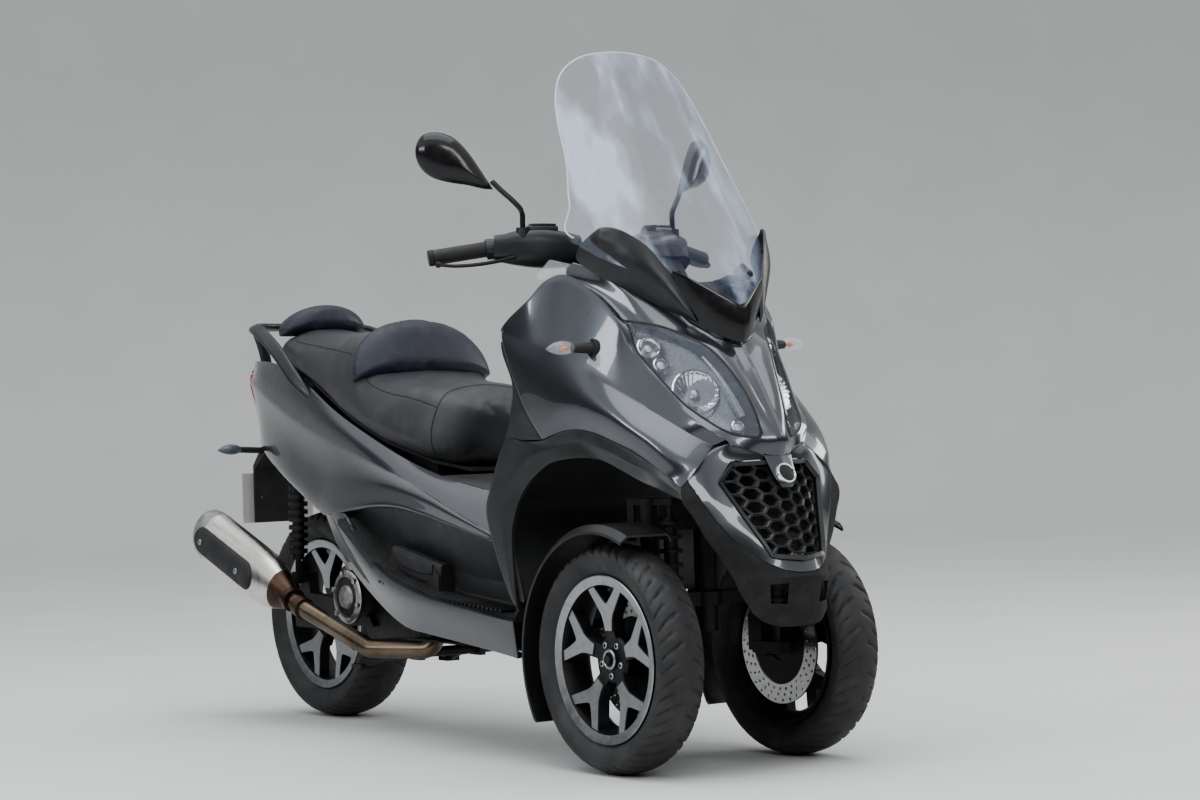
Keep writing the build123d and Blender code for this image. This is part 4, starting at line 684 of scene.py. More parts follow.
def carrier():
    rows = carrier_rows()
    grid = skin(rows, 90, 10)
    ob = shell([grid], 3.5)
    cutter = outline2([(0, 452, 1), (67, 456, 1), (131, 609, 1), (98, 650, 1), (34, 652, 1), (15, 604), (0, 597), (-15, 604), (-34, 652, 1), (-98, 650, 1), (-131, 609, 1), (-67, 456, 1)], 6)
    cut(ob, prism_y(cutter, -420, -140))
    seam = [(x, 421 + 70 * (abs(x) / 125) ** 2.4) for x in np.linspace(230, -230, 41)]
    cut(ob, prism_y([(-230, 250), (230, 250)] + seam, -420, -60))
    finish_piece(ob, "lower_nose_skin", "paint_dark", "chassis", "grille_carrier", 1.2)
    c, a, b, s, e = rows
    low = []
    for r, back, narrow, rise in zip(rows, (6, 6, 4, 2, -5), (1, 1, 0.99, 0.975, 0.95), (0, 1, 5, 14, 32)):
        x, y, z = r[-1]
        low.append([(x, y, z), (x * narrow, y + back, 384 + rise * 0.1), (x * narrow ** 2.5, y + back * 3 - 2, 346 + rise * 0.5), (x * narrow ** 4, y + back * 6, 308 + rise)])
    ob = shell([grid, skin(low, 24, 10)], 3.5)
    cut(ob, prism_y([(-230, 250), (230, 250)] + [(x, z - 1.6) for x, z in seam], -420, -60), "INTERSECT")
    for sx in (1, -1):
        cut(ob, prism_y([(sx * 41, 357), (sx * 73, 359), (sx * 76, 398), (sx * 43, 400)], -420, -140))
    finish_piece(ob, "chin_skin", "under", "chassis", "chin", 1.0)


front_panels()
trims()
cowl()
carrier()


# shared builders for round and swept pieces

def loops_faces(bm, loops, mat=0, cap=(True, True), closed=False):
    """Skin over closed loops of table points, with flat caps."""
    rings = [[bm.verts.new(V(*p)) for p in loop] for loop in loops]
    pairs = list(zip(rings, rings[1:])) + ([(rings[-1], rings[0])] if closed else [])
    for a, b in pairs:
        for i in range(len(a)):
            j = (i + 1) % len(a)
            f = bm.faces.new((a[i], a[j], b[j], b[i]))
            f.material_index = mat
    if not closed:
        if cap[0]:
            bm.faces.new(rings[0][::-1]).material_index = mat
        if cap[1]:
            bm.faces.new(rings[-1]).material_index = mat
    return rings


def swept(bm, path, half_w, half_t, n=16, power=2.0, up=(0, 0, 1), mat=0, samples=40, twist=None):
    """Bar along a smooth path; its half width and thickness are numbers or functions of the share along."""
    pts = spline(path, samples)
    loops = []
    for i, p in enumerate(pts):
        t = i / (samples - 1)
        way = pts[min(i + 1, samples - 1)] - pts[max(i - 1, 0)]
        way = way / np.linalg.norm(way)
        top = np.array(up if twist is None else twist(t), float)
        wide = np.cross(way, top)
        wide /= np.linalg.norm(wide)
        top = np.cross(wide, way)
        w = half_w(t) if callable(half_w) else half_w
        h = half_t(t) if callable(half_t) else half_t
        loop = []
        for k in range(n):
            a = 2 * math.pi * (k + 0.5) / n
            c, d = math.cos(a), math.sin(a)
            loop.append(p + wide * w * math.copysign(abs(c) ** (2 / power), c) + top * h * math.copysign(abs(d) ** (2 / power), d))
        loops.append(loop)
    loops_faces(bm, loops, mat)


def lathe(bm, centre, profile, n=96, mats=None, close=True):
    """Surface turned about a wheel's axle from (x offset, radius) points; mats holds a slot per span."""
    cx, cy, cz = centre
    rings = []
    for dx, r in profile:
        rings.append([bm.verts.new(V(cx + dx, cy + r * math.cos(2 * math.pi * k / n), cz + r * math.sin(2 * math.pi * k / n))) for k in range(n)])
    spans = len(profile) if close else len(profile) - 1
    for i in range(spans):
        a, b = rings[i], rings[(i + 1) % len(rings)]
        for k in range(n):
            f = bm.faces.new((a[k], b[k], b[(k + 1) % n], a[(k + 1) % n]))
            f.material_index = mats[i] if mats else 0
    return rings


def leaned(tilt):
    """Upward direction in a face that leans back by an angle."""
    a = math.radians(tilt)
    return (0, math.sin(a), math.cos(a))


def pillow(bm, outline, origin, wide, up, centre, depth, back, bow=None, mat=0, power=0.5, rings=9, back_mat=None):
    """Cushion-like body over a closed outline: rounded face towards wide x up, and a straight back."""
    o, e1, e2 = (np.array(v, float) for v in (origin, wide, up))
    nrm = np.cross(e1, e2)
    nrm = -nrm if nrm[1] > 0 else nrm
    loops = []
    cu, cw = centre
    steps = [(1.0, -back)] + [(math.cos(q * math.pi / 2) ** power, depth * math.sin(q * math.pi / 2)) for q in np.linspace(0, 0.985, rings)]
    for share, lift in steps:
        loop = []
        for u, w in outline:
            uu, ww = cu + (u - cu) * share, cw + (w - cw) * share
            off = bow(uu) if bow else 0.0
            loop.append(o + e1 * uu + e2 * ww + nrm * (lift - off))
        loops.append(loop)
    before = set(bm.faces)
    loops_faces(bm, loops, mat)
    made = [f for f in bm.faces if f not in before]
    bmesh.ops.recalc_face_normals(bm, faces=made)
    if back_mat is not None:
        for f in made:
            c = f.calc_center_median()
            if len(f.verts) > 8 and (c - V(*o)).dot(Vector(nrm)) < -back / 1000 * 0.9:
                f.material_index = back_mat


# wheels

def tyre_mesh(name, body, centre, radius, width, rim_r, rim_w):
    """Scooter tyre: rounded crown with curved slanting grooves, smooth sidewalls with rings."""
    cx, cy, cz = centre
    half = width / 2
    foot = rim_w / 2 - 8
    around, across = 440, 46
    flank_r = (radius + rim_r) / 2 + 4
    bm = bmesh.new()
    grid = []
    reach = math.atan2(radius - flank_r + 30, half)
    for i in range(across + 1):
        u = -1 + 2 * i / across
        lo = abs(u)
        if lo < 0.7:
            q = lo / 0.7
            dx = half * math.sin(q * math.pi / 2)
            r = flank_r + (radius - flank_r) * math.cos(q * math.pi / 2) ** 0.92
        else:
            q = (lo - 0.7) / 0.3
            dx = half - (half - foot) * q ** 1.7
            r = flank_r - (flank_r - rim_r + 2) * q
            r += 0.6 * math.cos(q * math.pi * 6) * (0.1 < q < 0.75)
        grid.append((math.copysign(dx, u), r, u))
    pitch = 24
    rows = []
    for dx, r, u in grid:
        ring = []
        for k in range(around):
            a = 2 * math.pi * k / around
            depth = 0.0
            lo = abs(u)
            if lo < 0.66:
                phase = (a / (2 * math.pi) * pitch + (0.5 if u > 0 else 0.0)) % 1.0
                line = 0.20 + 0.95 * lo + 0.25 * lo * lo
                for shift, low, high, wide in ((0.0, 0.04, 0.60, 0.075), (0.46, 0.20, 0.64, 0.055)):
                    gap = abs((phase - line - shift + 0.5) % 1.0 - 0.5)
                    if low < lo < high:
                        edge = min(1.0, (lo - low) / 0.05, (high - lo) / 0.06)
                        depth = max(depth, 4.2 * edge * max(0.0, min(1.0, (wide - gap) / 0.025)))
            ring.append((cx + dx * (1 - depth * 0.0), cy + (r - depth) * math.cos(a), cz + (r - depth) * math.sin(a)))
        rows.append(ring)
    inner = [(-foot, rim_r - 8), (foot, rim_r - 8)]
    rows = [[(cx + inner[0][0], cy + inner[0][1] * math.cos(2 * math.pi * k / around), cz + inner[0][1] * math.sin(2 * math.pi * k / around))
             for k in range(around)]] + rows + [
        [(cx + inner[1][0], cy + inner[1][1] * math.cos(2 * math.pi * k / around), cz + inner[1][1] * math.sin(2 * math.pi * k / around))
         for k in range(around)]]
    loops_faces(bm, rows, closed=True)
    bmesh.ops.recalc_face_normals(bm, faces=bm.faces)
    new_object(name + "_tread", bm, "tyre", body, name, 50)


def rim_mesh(side, body, centre, rim_r, rim_w, outward):
    """Black cast wheel with machined lips and Y spoke faces, five bolts and a ringed cap."""
    cx, cy, cz = centre
    h = rim_w / 2
    o = outward
    bm = bmesh.new()
    profile = [(o * (h - 2), rim_r - 1), (o * h, rim_r - 3), (o * (h - 0.6), rim_r - 7), (o * (h - 5), rim_r - 22), (o * (h - 13), rim_r - 25),
               (o * 10, rim_r - 31), (-o * 12, rim_r - 31), (-o * (h - 14), rim_r - 22), (-o * (h - 3), rim_r - 13), (-o * h, rim_r - 5), (-o * (h - 1), rim_r - 2),
               (-o * (h - 6), rim_r - 4), (-o * (h - 16), rim_r - 9), (-o * 12, rim_r - 22), (o * 12, rim_r - 22), (o * (h - 16), rim_r - 9), (o * (h - 6), rim_r - 3)]
    lathe(bm, centre, profile, 120, [1, 1, 1] + [0] * 14)
    hub = [(o * (h - 22), 0.01), (o * (h - 22), 13), (o * (h - 21), 15), (o * (h - 16), 15.5), (o * (h - 15), 17), (o * (h - 15), 20), (o * (h - 17), 22),
           (o * (h - 24), 23), (o * (h - 24), 47), (o * (h - 30), 52), (-o * 30, 46), (-o * 34, 42), (-o * 34, 11), (o * 2, 10)]
    lathe(bm, centre, hub, 72, [0, 0, 1, 1, 1, 1, 0, 0, 0, 0, 0, 0, 0, 0])
    size = rim_r / 179
    half_y = [(60, 12), (72, 13.5), (86, 17), (96, 21), (104, 27), (122, 40.5), (146, 59)]
    crotch = [(158, 44), (136, 23), (121, 7), (117, 0)]
    face = half_y + crotch + [(u, -v) for u, v in crotch[-2::-1]] + [(u, -v) for u, v in reversed(half_y)]
    root = [(34, 15), (58, 16.5), (84, 20), (84, -20), (58, -16.5), (34, -15)]
    for k in range(5):
        a0 = 2 * math.pi * k / 5 + math.radians(90)

        def place(u, v, dx):
            u, v = u * size, v * size
            return (cx + o * dx, cy + u * math.cos(a0) - v * math.sin(a0), cz + u * math.sin(a0) + v * math.cos(a0))

        def slope(u):
            return h - 17 + 0.095 * (u - 60)

        def grown(points, by):
            out = []
            n = len(points)
            for i, (u, v) in enumerate(points):
                (pu, pv), (qu, qv) = points[i - 1], points[(i + 1) % n]
                e = np.array((qu - pu, qv - pv))
                e = e / np.linalg.norm(e)
                out.append((u + e[1] * by, v - e[0] * by))
            return out

        sign = -1 if sum(p[0] * q[1] - q[0] * p[1] for p, q in zip(face, face[1:] + face[:1])) > 0 else 1
        wide1, wide2 = grown(face, -1.7 * sign), grown(face, -3.2 * sign)
        spans = ([(p, slope(p[0])) for p in face], [(w, slope(p[0]) - 1.6) for p, w in zip(face, wide1)], [(w, slope(p[0]) - 27) for p, w in zip(face, wide2)])
        rings = [[bm.verts.new(V(*place(w[0], w[1], dx))) for w, dx in span] for span in spans]
        bm.faces.new(rings[0]).material_index = 1
        for ra, rb in zip(rings, rings[1:]):
            for i in range(len(face)):
                j = (i + 1) % len(face)
                bm.faces.new((ra[i], ra[j], rb[j], rb[i])).material_index = 0
        bm.faces.new(rings[-1][::-1])
        loops_faces(bm, [[place(u, v, slope(u) - 3 - 0.16 * max(0, 58 - u)) for u, v in root], [place(u, v * 1.12, slope(u) - 30) for u, v in root]], 0)
        bolt = a0 + math.pi / 5
        by, bz = cy + 35 * math.cos(bolt), cz + 35 * math.sin(bolt)
        prof = [(o * (h - 24), 7.5), (o * (h - 21), 7.2), (o * (h - 20), 5.6), (o * (h - 20), 3.6), (o * (h - 23.5), 3.2), (o * (h - 23.5), 0.01)]
        lathe(bm, (cx, by, bz), prof, 20, [1, 1, 1, 0, 0], close=False)
    bmesh.ops.recalc_face_normals(bm, faces=bm.faces)
    new_object("rim_" + side + "_cast", bm, ["wheel_black", "machined"], body, "rim_" + side, 28)


def disc_mesh(side, body, centre, radius, outward):
    """Brake disc with rows of round holes, on a dark carrier."""
    cx, cy, cz = centre
    o = outward
    bm = bmesh.new()
    sectors, ring_n = 30, 12
    inner_r = radius - 42
    for face_x in (0.0, -o * 4.5):
        for row in range(3):
            r0 = inner_r + 4 + row * 12.6
            r1 = r0 + 12.6
            shift = 0.33 * row
            for k in range(sectors):
                a_mid = 2 * math.pi * (k + 0.5 + shift) / sectors
                da = math.pi / sectors
                corners = []
                for i in range(ring_n):
                    t = 2 * math.pi * (i + 0.5) / ring_n
                    c, d = math.cos(t), math.sin(t)
                    m = max(abs(c), abs(d))
                    corners.append((a_mid + da * c / m, (r0 + r1) / 2 + 6.3 * d / m))
                hole = [(a_mid + 3.6 * math.cos(2 * math.pi * (i + 0.5) / ring_n) / ((r0 + r1) / 2),
                         (r0 + r1) / 2 + 3.6 * math.sin(2 * math.pi * (i + 0.5) / ring_n)) for i in range(ring_n)]
                vo = [bm.verts.new(V(cx + face_x, cy + r * math.cos(a), cz + r * math.sin(a))) for a, r in corners]
                vi = [bm.verts.new(V(cx + face_x, cy + r * math.cos(a), cz + r * math.sin(a))) for a, r in hole]
                for i in range(ring_n):
                    j = (i + 1) % ring_n
                    bm.faces.new((vo[i], vo[j], vi[j], vi[i]))
                if face_x == 0.0:
                    vb = [bm.verts.new(V(cx - o * 4.5, cy + r * math.cos(a), cz + r * math.sin(a))) for a, r in hole]
                    for i in range(ring_n):
                        j = (i + 1) % ring_n
                        bm.faces.new((vi[i], vi[j], vb[j], vb[i]))
    lathe(bm, centre, [(0, inner_r + 4), (0, inner_r), (-o * 4.5, inner_r), (-o * 4.5, inner_r + 4)], 90, close=False)
    top = inner_r + 4 + 3 * 12.6
    lathe(bm, centre, [(0, top), (0, radius), (-o * 4.5, radius), (-o * 4.5, top)], 120, close=False)
    carrier = [(o * 0.5, 34), (o * 0.5, inner_r - 2), (-o * 3.5, inner_r - 2), (-o * 3.5, 34)]
    lathe(bm, centre, carrier, 72, [1] * 4)
    bmesh.ops.remove_doubles(bm, verts=bm.verts, dist=0.00001)
    bmesh.ops.recalc_face_normals(bm, faces=bm.faces)
    new_object("disc_" + side + "_drilled", bm, ["disc", "black_metal"], body, "disc_" + side, 40)


def wheels():
    for side, o in (("right", -1), ("left", 1)):
        centre = (o * 232.5, 0, 242)
        body = "wheel_" + side
        tyre_mesh("tyre_" + side, body, centre, 242, 110, 179, 88)
        rim_mesh(side, body, centre, 179, 88, o)
        disc_mesh(side, body, (centre[0] - o * 34.3, 0, 242), 129, o)
    centre = (0, WHEELBASE, 262)
    tyre_mesh("tyre_rear", "wheel_rear", centre, 262, 140, 191, 106)
    rim_mesh("rear", "wheel_rear", centre, 191, 106, -1)
    disc_mesh("rear", "wheel_rear", (34.3, WHEELBASE, 262), 120, -1)


# rear body, sills and footwell

BODY_TOP = [(70, 1835, 900), (104, 1760, 912), (138, 1600, 902), (164, 1432, 862), (186, 1228, 778), (200, 1009, 702), (196, 860, 652), (188, 700, 612), (178, 560, 588), (170, 405, 574)]
BODY_CREASE = [(84, 1838, 862), (122, 1752, 852), (156, 1600, 806), (185, 1376, 739), (216, 1051, 663), (236, 769, 596), (248, 560, 532), (256, 405, 489)]
BODY_LOW = [(60, 1830, 735), (92, 1772, 690), (148, 1579, 626), (192, 1330, 543), (212, 1232, 522), (222, 1140, 528), (228, 1020, 544), (232, 888, 547), (240, 760, 534), (247, 600, 507), (253, 463, 483), (255, 405, 474)]
SILL_TOP = [(236, 1172, 528), (246, 1098, 526), (258, 1000, 456), (268, 922, 415), (276, 800, 377), (283, 667, 351), (287, 500, 331), (288, 361, 314), (287, 318, 310)]
SILL_LOW = [(222, 1224, 526), (234, 1120, 424), (246, 960, 332), (254, 821, 276), (259, 700, 262), (264, 558, 250), (270, 400, 236), (274, 322, 228)]


def between(a, b, share, dx=0.0, dz=0.0, n=14):
    """Row part of the way between two rows, moved by an amount that fades at its ends."""
    pa, pb = spline(a, n), spline(b, n)
    out = pa + (pb - pa) * share
    fade = np.sin(np.linspace(0, math.pi, n)) ** 0.5
    out[:, 0] += dx * fade
    out[:, 2] += dz * fade
    return [tuple(p) for p in out]


SHIELD = [(316, 352, 280), (345, 450, 282), (384, 543, 282), (364, 596, 282), (298, 701, 280), (250, 817, 278), (294, 899, 272), (302, 940, 267), (292, 966, 258),
          (238, 1001, 246), (204, 1030, 226), (120, 1036, 206), (60, 1014, 180)]


def leg_shield():
    """Inner moulding that faces the rider, with its glove box lid, and the dials' stand."""
    rows = [[(half * share, y - back, z) for y, z, half in SHIELD] for share, back in ((0, 0), (0.3, 0), (0.62, 1), (0.9, 6), (0.985, 16), (1.0, 34))]
    ob = shell([skin(rows, 70, 8)], 4.0)
    finish_piece(ob, "leg_shield_skin", "trim", "chassis", "leg_shield", 1.0)
    bm = bmesh.new()
    swept(bm, [(0, 150, 1008), (0, 170, 1040), (0, 192, 1072)], 88, lambda t: 40 - 8 * t, n=36, power=6, samples=8, up=(0, 1, 0))
    for sx in (1, -1):
        swept(bm, [(sx * 96, 100, 1022), (sx * 96, 20, 1034), (sx * 96, -58, 1042)], 9, 9, n=16, samples=8)
    bmesh.ops.recalc_face_normals(bm, faces=bm.faces)
    new_object("dial_stand", bm, "trim_matt", "chassis", None, 40)
    lid = [[(x, 301.5 - 0.414 * (z - 701) - back, z) for x, back in ((-118, 7), (-111, 0), (0, 0), (111, 0), (118, 7))] for z in (706, 712, 740, 770, 800, 806)]
    ob = shell([skin(lid, 20, 8)], 3.0, (0, 150, 760), mirror=False)
    finish_piece(ob, "glove_lid", "trim_matt", "chassis", None, 1.0)


def rear_body():
    lip = [(x - 16, y, z - 4) for x, y, z in BODY_TOP]
    high = between(BODY_TOP, BODY_CREASE, 0.5, 5.0, 3.0)
    mid = between(BODY_CREASE, BODY_LOW, 0.42, -9.0)
    low = between(BODY_CREASE, BODY_LOW, 0.86, 3.0)
    under = [(x - 14, y + (8 if y < 1000 else 0), z + 1) for x, y, z in BODY_LOW]
    grid_a = skin([lip, BODY_TOP], 110, 3)
    grid_b = skin([BODY_TOP, high, BODY_CREASE], 110, 7)
    grid_c = skin([BODY_CREASE, mid, low, BODY_LOW], 110, 7)
    grid_d = skin([BODY_LOW, under], 110, 2)
    ob = shell([grid_a, grid_b, grid_c, grid_d], 3.0, (0, 900, 650))
    lamp = [(-120, 798), (120, 798), (120, 882), (-120, 882)]
    cut(ob, prism_y(lamp, 1778, 1900))
    finish_piece(ob, "rear_body_skin", "paint", "chassis", None, 0.9)
    lens = shell([grid_b, grid_c], 2.5, (0, 900, 650))
    cut(lens, prism_y([(-118, 800), (118, 800), (118, 880), (-118, 880)], 1780, 1900), "INTERSECT")
    finish_piece(lens, "tail_lamp_side", "red", "chassis", "tail_lamp", 0.5)
    tail = [[(x * c, y + (6 if c else 12) * (1 - abs(2 * k / 6 - 1)), z) for x, y, z in ((70, 1835, 900), (84, 1838, 862), (72, 1836, 800), (60, 1830, 735))]
            for k, c in ((0, 1.0), (1, 0.8), (3, 0.4), (6, 0.0))]
    ob = shell([skin(tail, 24, 6)], 3.0, (0, 900, 650))
    cut(ob, prism_y([(-100, 798), (100, 798), (100, 882), (-100, 882)], 1778, 1900))
    finish_piece(ob, "tail_skin", "paint", "chassis", None, 0.6)
    ob = shell([skin(tail, 24, 6)], 3.0, (0, 900, 650))
    cut(ob, prism_y([(-99, 800), (99, 800), (99, 880), (-99, 880)], 1778, 1900), "INTERSECT")
    finish_piece(ob, "tail_lamp_back", "red", "chassis", None, 0.5)
    tray = [[(x * c, y, z - 8 - 6 * (1 - c)) for x, y, z in ((150, 1436, 854), (128, 1600, 892), (94, 1752, 904), (62, 1828, 893))] for c in (1.0, 0.5, 0.0)]
    ob = shell([skin(tray, 16, 4)], 2.5, (0, 900, 300))
    finish_piece(ob, "tail_tray", "under", "chassis", None, 0)
    top = [[(170, 405, 575), (178, 560, 589), (188, 700, 613), (189, 742, 622)],
           [(120, 405, 596), (125, 560, 606), (128, 700, 619), (128, 742, 622)], [(0, 405, 604), (0, 560, 613), (0, 700, 621), (0, 742, 622)]]
    ob = shell([skin(top, 30, 8)], 3.0, (0, 900, 500))
    finish_piece(ob, "tunnel_top", "trim", "chassis", "rear_body", 0.8)


def sills():
    bulge = between(SILL_TOP, SILL_LOW, 0.35, 6.8)
    lip = [(x - 10, y, z + 1) for x, y, z in SILL_TOP]
    under = [(x - 30, y, z + 4) for x, y, z in SILL_LOW]
    ob = shell([skin([lip, SILL_TOP], 90, 2), skin([SILL_TOP, bulge, between(SILL_TOP, SILL_LOW, 0.8, 2.0), SILL_LOW], 90, 7), skin([SILL_LOW, under], 90, 3)], 3.0, (0, 700, 400))
    finish_piece(ob, "sill_skins", "paint_dark", "chassis", "sills", 1.0)
    top = [(x - 9, y, z + 5) for x, y, z in BODY_LOW if y < 1200]
    top = [(217, 1180, 530)] + top
    wall = [(208, 1120, 500), (196, 1000, 462), (192, 888, 440), (191, 760, 420), (191, 600, 396), (192, 463, 388), (194, 405, 384)]
    foot = [(225, 1100, 514), (212, 1000, 448), (200, 922, 413), (194, 800, 379), (192, 667, 353), (192, 500, 336), (192, 405, 324)]
    ob = shell([skin([top, wall, foot], 60, 9)], 2.5, (0, 700, 400))
    finish_piece(ob, "footwell_walls", "trim", "chassis", None, 0.6)


# seat

SEAT = [
    (772, 56, 652, 92, 704, 66, 762, 780), (800, 110, 644, 144, 702, 110, 784, 801), (850, 148, 658, 176, 704, 144, 800, 826),
    (920, 170, 682, 191, 724, 160, 811, 836), (1000, 184, 705, 199, 748, 166, 819, 845), (1072, 186, 730, 200, 770, 168, 834, 858),
    (1102, 186, 742, 200, 784, 168, 850, 876), (1130, 186, 753, 198, 800, 168, 892, 930), (1160, 185, 766, 195, 814, 165, 924, 962),
    (1220, 180, 789, 189, 840, 156, 937, 970), (1376, 160, 851, 169, 894, 138, 944, 967), (1500, 140, 887, 149, 922, 120, 955, 974),
    (1580, 120, 908, 129, 944, 104, 968, 986), (1606, 108, 915, 114, 942, 92, 962, 976),
]


def seat_floor(c):
    """True for points on the seat's lower face."""
    y, z = (c[1] * 1000 - AXLE_Y), c[2] * 1000
    return z < np.interp(y, [r[0] for r in SEAT], [r[2] for r in SEAT]) + 7


def seat_form():
    """Closed seat body through its upright sections."""
    loops = []
    stations = []
    for y, lx, lz, sx, sz, hx, hz, cz in SEAT:
        half = [(0, y, lz), (lx * 0.6, y, lz), (lx, y, lz, 1), (sx, y, sz), (hx, y, hz), (hx * 0.5, y, hz + (cz - hz) * 0.8), (0, y, cz)]
        stations.append(spline(half, 40))
    cols = np.array(stations)
    rows = []
    for j in range(40):
        rows.append(spline([tuple(p) for p in cols[:, j]], 90))
    right = np.array(rows).transpose(1, 0, 2)
    loops = []
    for sec in right:
        left = sec[1:-1][::-1].copy()
        left[:, 0] *= -1
        loops.append([tuple(p) for p in np.concatenate([sec, left])])
    return loops


SEAT_TREE = []


def stuffed(bm, voxel, cap, pressure=4.0, hold=None):
    """Inflates a closed form as cloth over its filling, each point moving no further than a cap in mm."""
    me = bpy.data.meshes.new("stuffed")
    bm.to_mesh(me)
    bm.free()
    ob = bpy.data.objects.new("stuffed", me)
    bpy.context.collection.objects.link(ob)
    mod = ob.modifiers.new("even", "REMESH")
    mod.mode = "VOXEL"
    mod.voxel_size = voxel
    apply_mods(ob)
    start = np.array([v.co[:] for v in ob.data.vertices])
    if hold is not None:
        group = ob.vertex_groups.new(name="hold")
        group.add([i for i, c in enumerate(start) if hold(c)], 1.0, "REPLACE")
    cloth = ob.modifiers.new("cloth", "CLOTH")
    setting = cloth.settings
    setting.quality = 5
    setting.mass = 0.4
    setting.tension_stiffness = 12
    setting.compression_stiffness = 12
    setting.bending_stiffness = 0.6
    setting.use_pressure = True
    setting.uniform_pressure_force = pressure
    setting.effector_weights.gravity = 0
    if hold is not None:
        setting.vertex_group_mass = "hold"
    cloth.collision_settings.use_collision = False
    cloth.collision_settings.use_self_collision = False
    scene = bpy.context.scene
    for f in range(1, 21):
        scene.frame_set(f)
    out = ob.evaluated_get(bpy.context.evaluated_depsgraph_get()).to_mesh()
    end = np.array([v.co[:] for v in out.vertices])
    ob.modifiers.remove(cloth)
    move = end - start
    size = np.linalg.norm(move, axis=1)
    limit = cap / 1000
    move *= (limit * np.tanh(size / limit) / np.maximum(size, 1e-9))[:, None]
    soft = bmesh.new()
    soft.from_mesh(ob.data)
    soft.verts.ensure_lookup_table()
    for v, c in zip(soft.verts, start + move):
        v.co = c
    bmesh.ops.smooth_vert(soft, verts=soft.verts, factor=0.5, use_axis_x=True, use_axis_y=True, use_axis_z=True)
    bpy.data.objects.remove(ob)
    scene.frame_set(1)
    return soft


def seat():
    bm = bmesh.new()
    loops_faces(bm, seat_form())
    bmesh.ops.recalc_face_normals(bm, faces=bm.faces)
    bm = stuffed(bm, 0.0062, 4.0, hold=lambda c: seat_floor(c))
    ob = new_object("seat_cover", bm, "seat", "seat", "seat_cushion", 60)
    SEAT_TREE.append(BVHTree.FromPolygons([v.co.copy() for v in ob.data.vertices], [tuple(f.vertices) for f in ob.data.polygons]))
    moon = [(math.cos(t) * 1.0, max(0.0, math.sin(t)) ** 0.86) for t in np.linspace(0, math.pi, 33)] + [(u, -0.035 * (1 - u * u)) for u in np.linspace(-0.93, 0.93, 15)]
    for name, y, z, tilt, hx, rise, deep, back, node in (("bolster_front", 1098, 860, 24, 194, 150, 24, 26, "seat_bolsters"),
                                                         ("bolster_rear", 1573, 982, 14, 120, 68, 34, 30, None)):
        bm = bmesh.new()
        outline = [(hx * u, rise * w) for u, w in moon]
        pillow(bm, outline, (0, y, z), (1, 0, 0), leaned(tilt), (0, rise * 0.45), deep, back, bow=lambda u, h=hx: 16 * (u / h) ** 2)
        bm = stuffed(bm, 0.0045, 5.0)
        ob = new_object(name + "_pad", bm, "bolster", "seat", node, 60)


wheels()
leg_shield()
rear_body()
sills()
seat()

# lamps

def reflector(bm, centre, axis, radius, depth, flutes=0, mats=(0, 1)):
    """Round bowl opening along an axis, with a lip, radial flutes and a capped bulb."""
    c = np.array(centre, float)
    ax = np.array(axis, float)
    ax /= np.linalg.norm(ax)
    e1 = np.cross(ax, (0, 0, 1))
    e1 /= np.linalg.norm(e1)
    e2 = np.cross(e1, ax)
    n = 96

    def ring(r, h, wave=0.0):
        return [c + ax * h + (e1 * math.cos(2 * math.pi * k / n) + e2 * math.sin(2 * math.pi * k / n)) * (r + wave * math.cos(flutes * 2 * math.pi * k / n)) for k in range(n)]

    loops = [ring(radius + 3, -depth), ring(radius + 3, 0), ring(radius, 1.5)]
    for q in np.linspace(0.98, 0.12, 9):
        loops.append(ring(radius * q, -depth * (1 - q * q) * 0.9, 1.3 * q * (flutes > 0)))
    loops_faces(bm, loops, mats[0])
    bulb = [ring(r, h) for r, h in ((7, -depth * 0.85), (7, -depth * 0.3), (9, -depth * 0.28), (9, -depth * 0.18), (6, -depth * 0.12), (0.5, -depth * 0.1))]
    loops_faces(bm, bulb, mats[1])


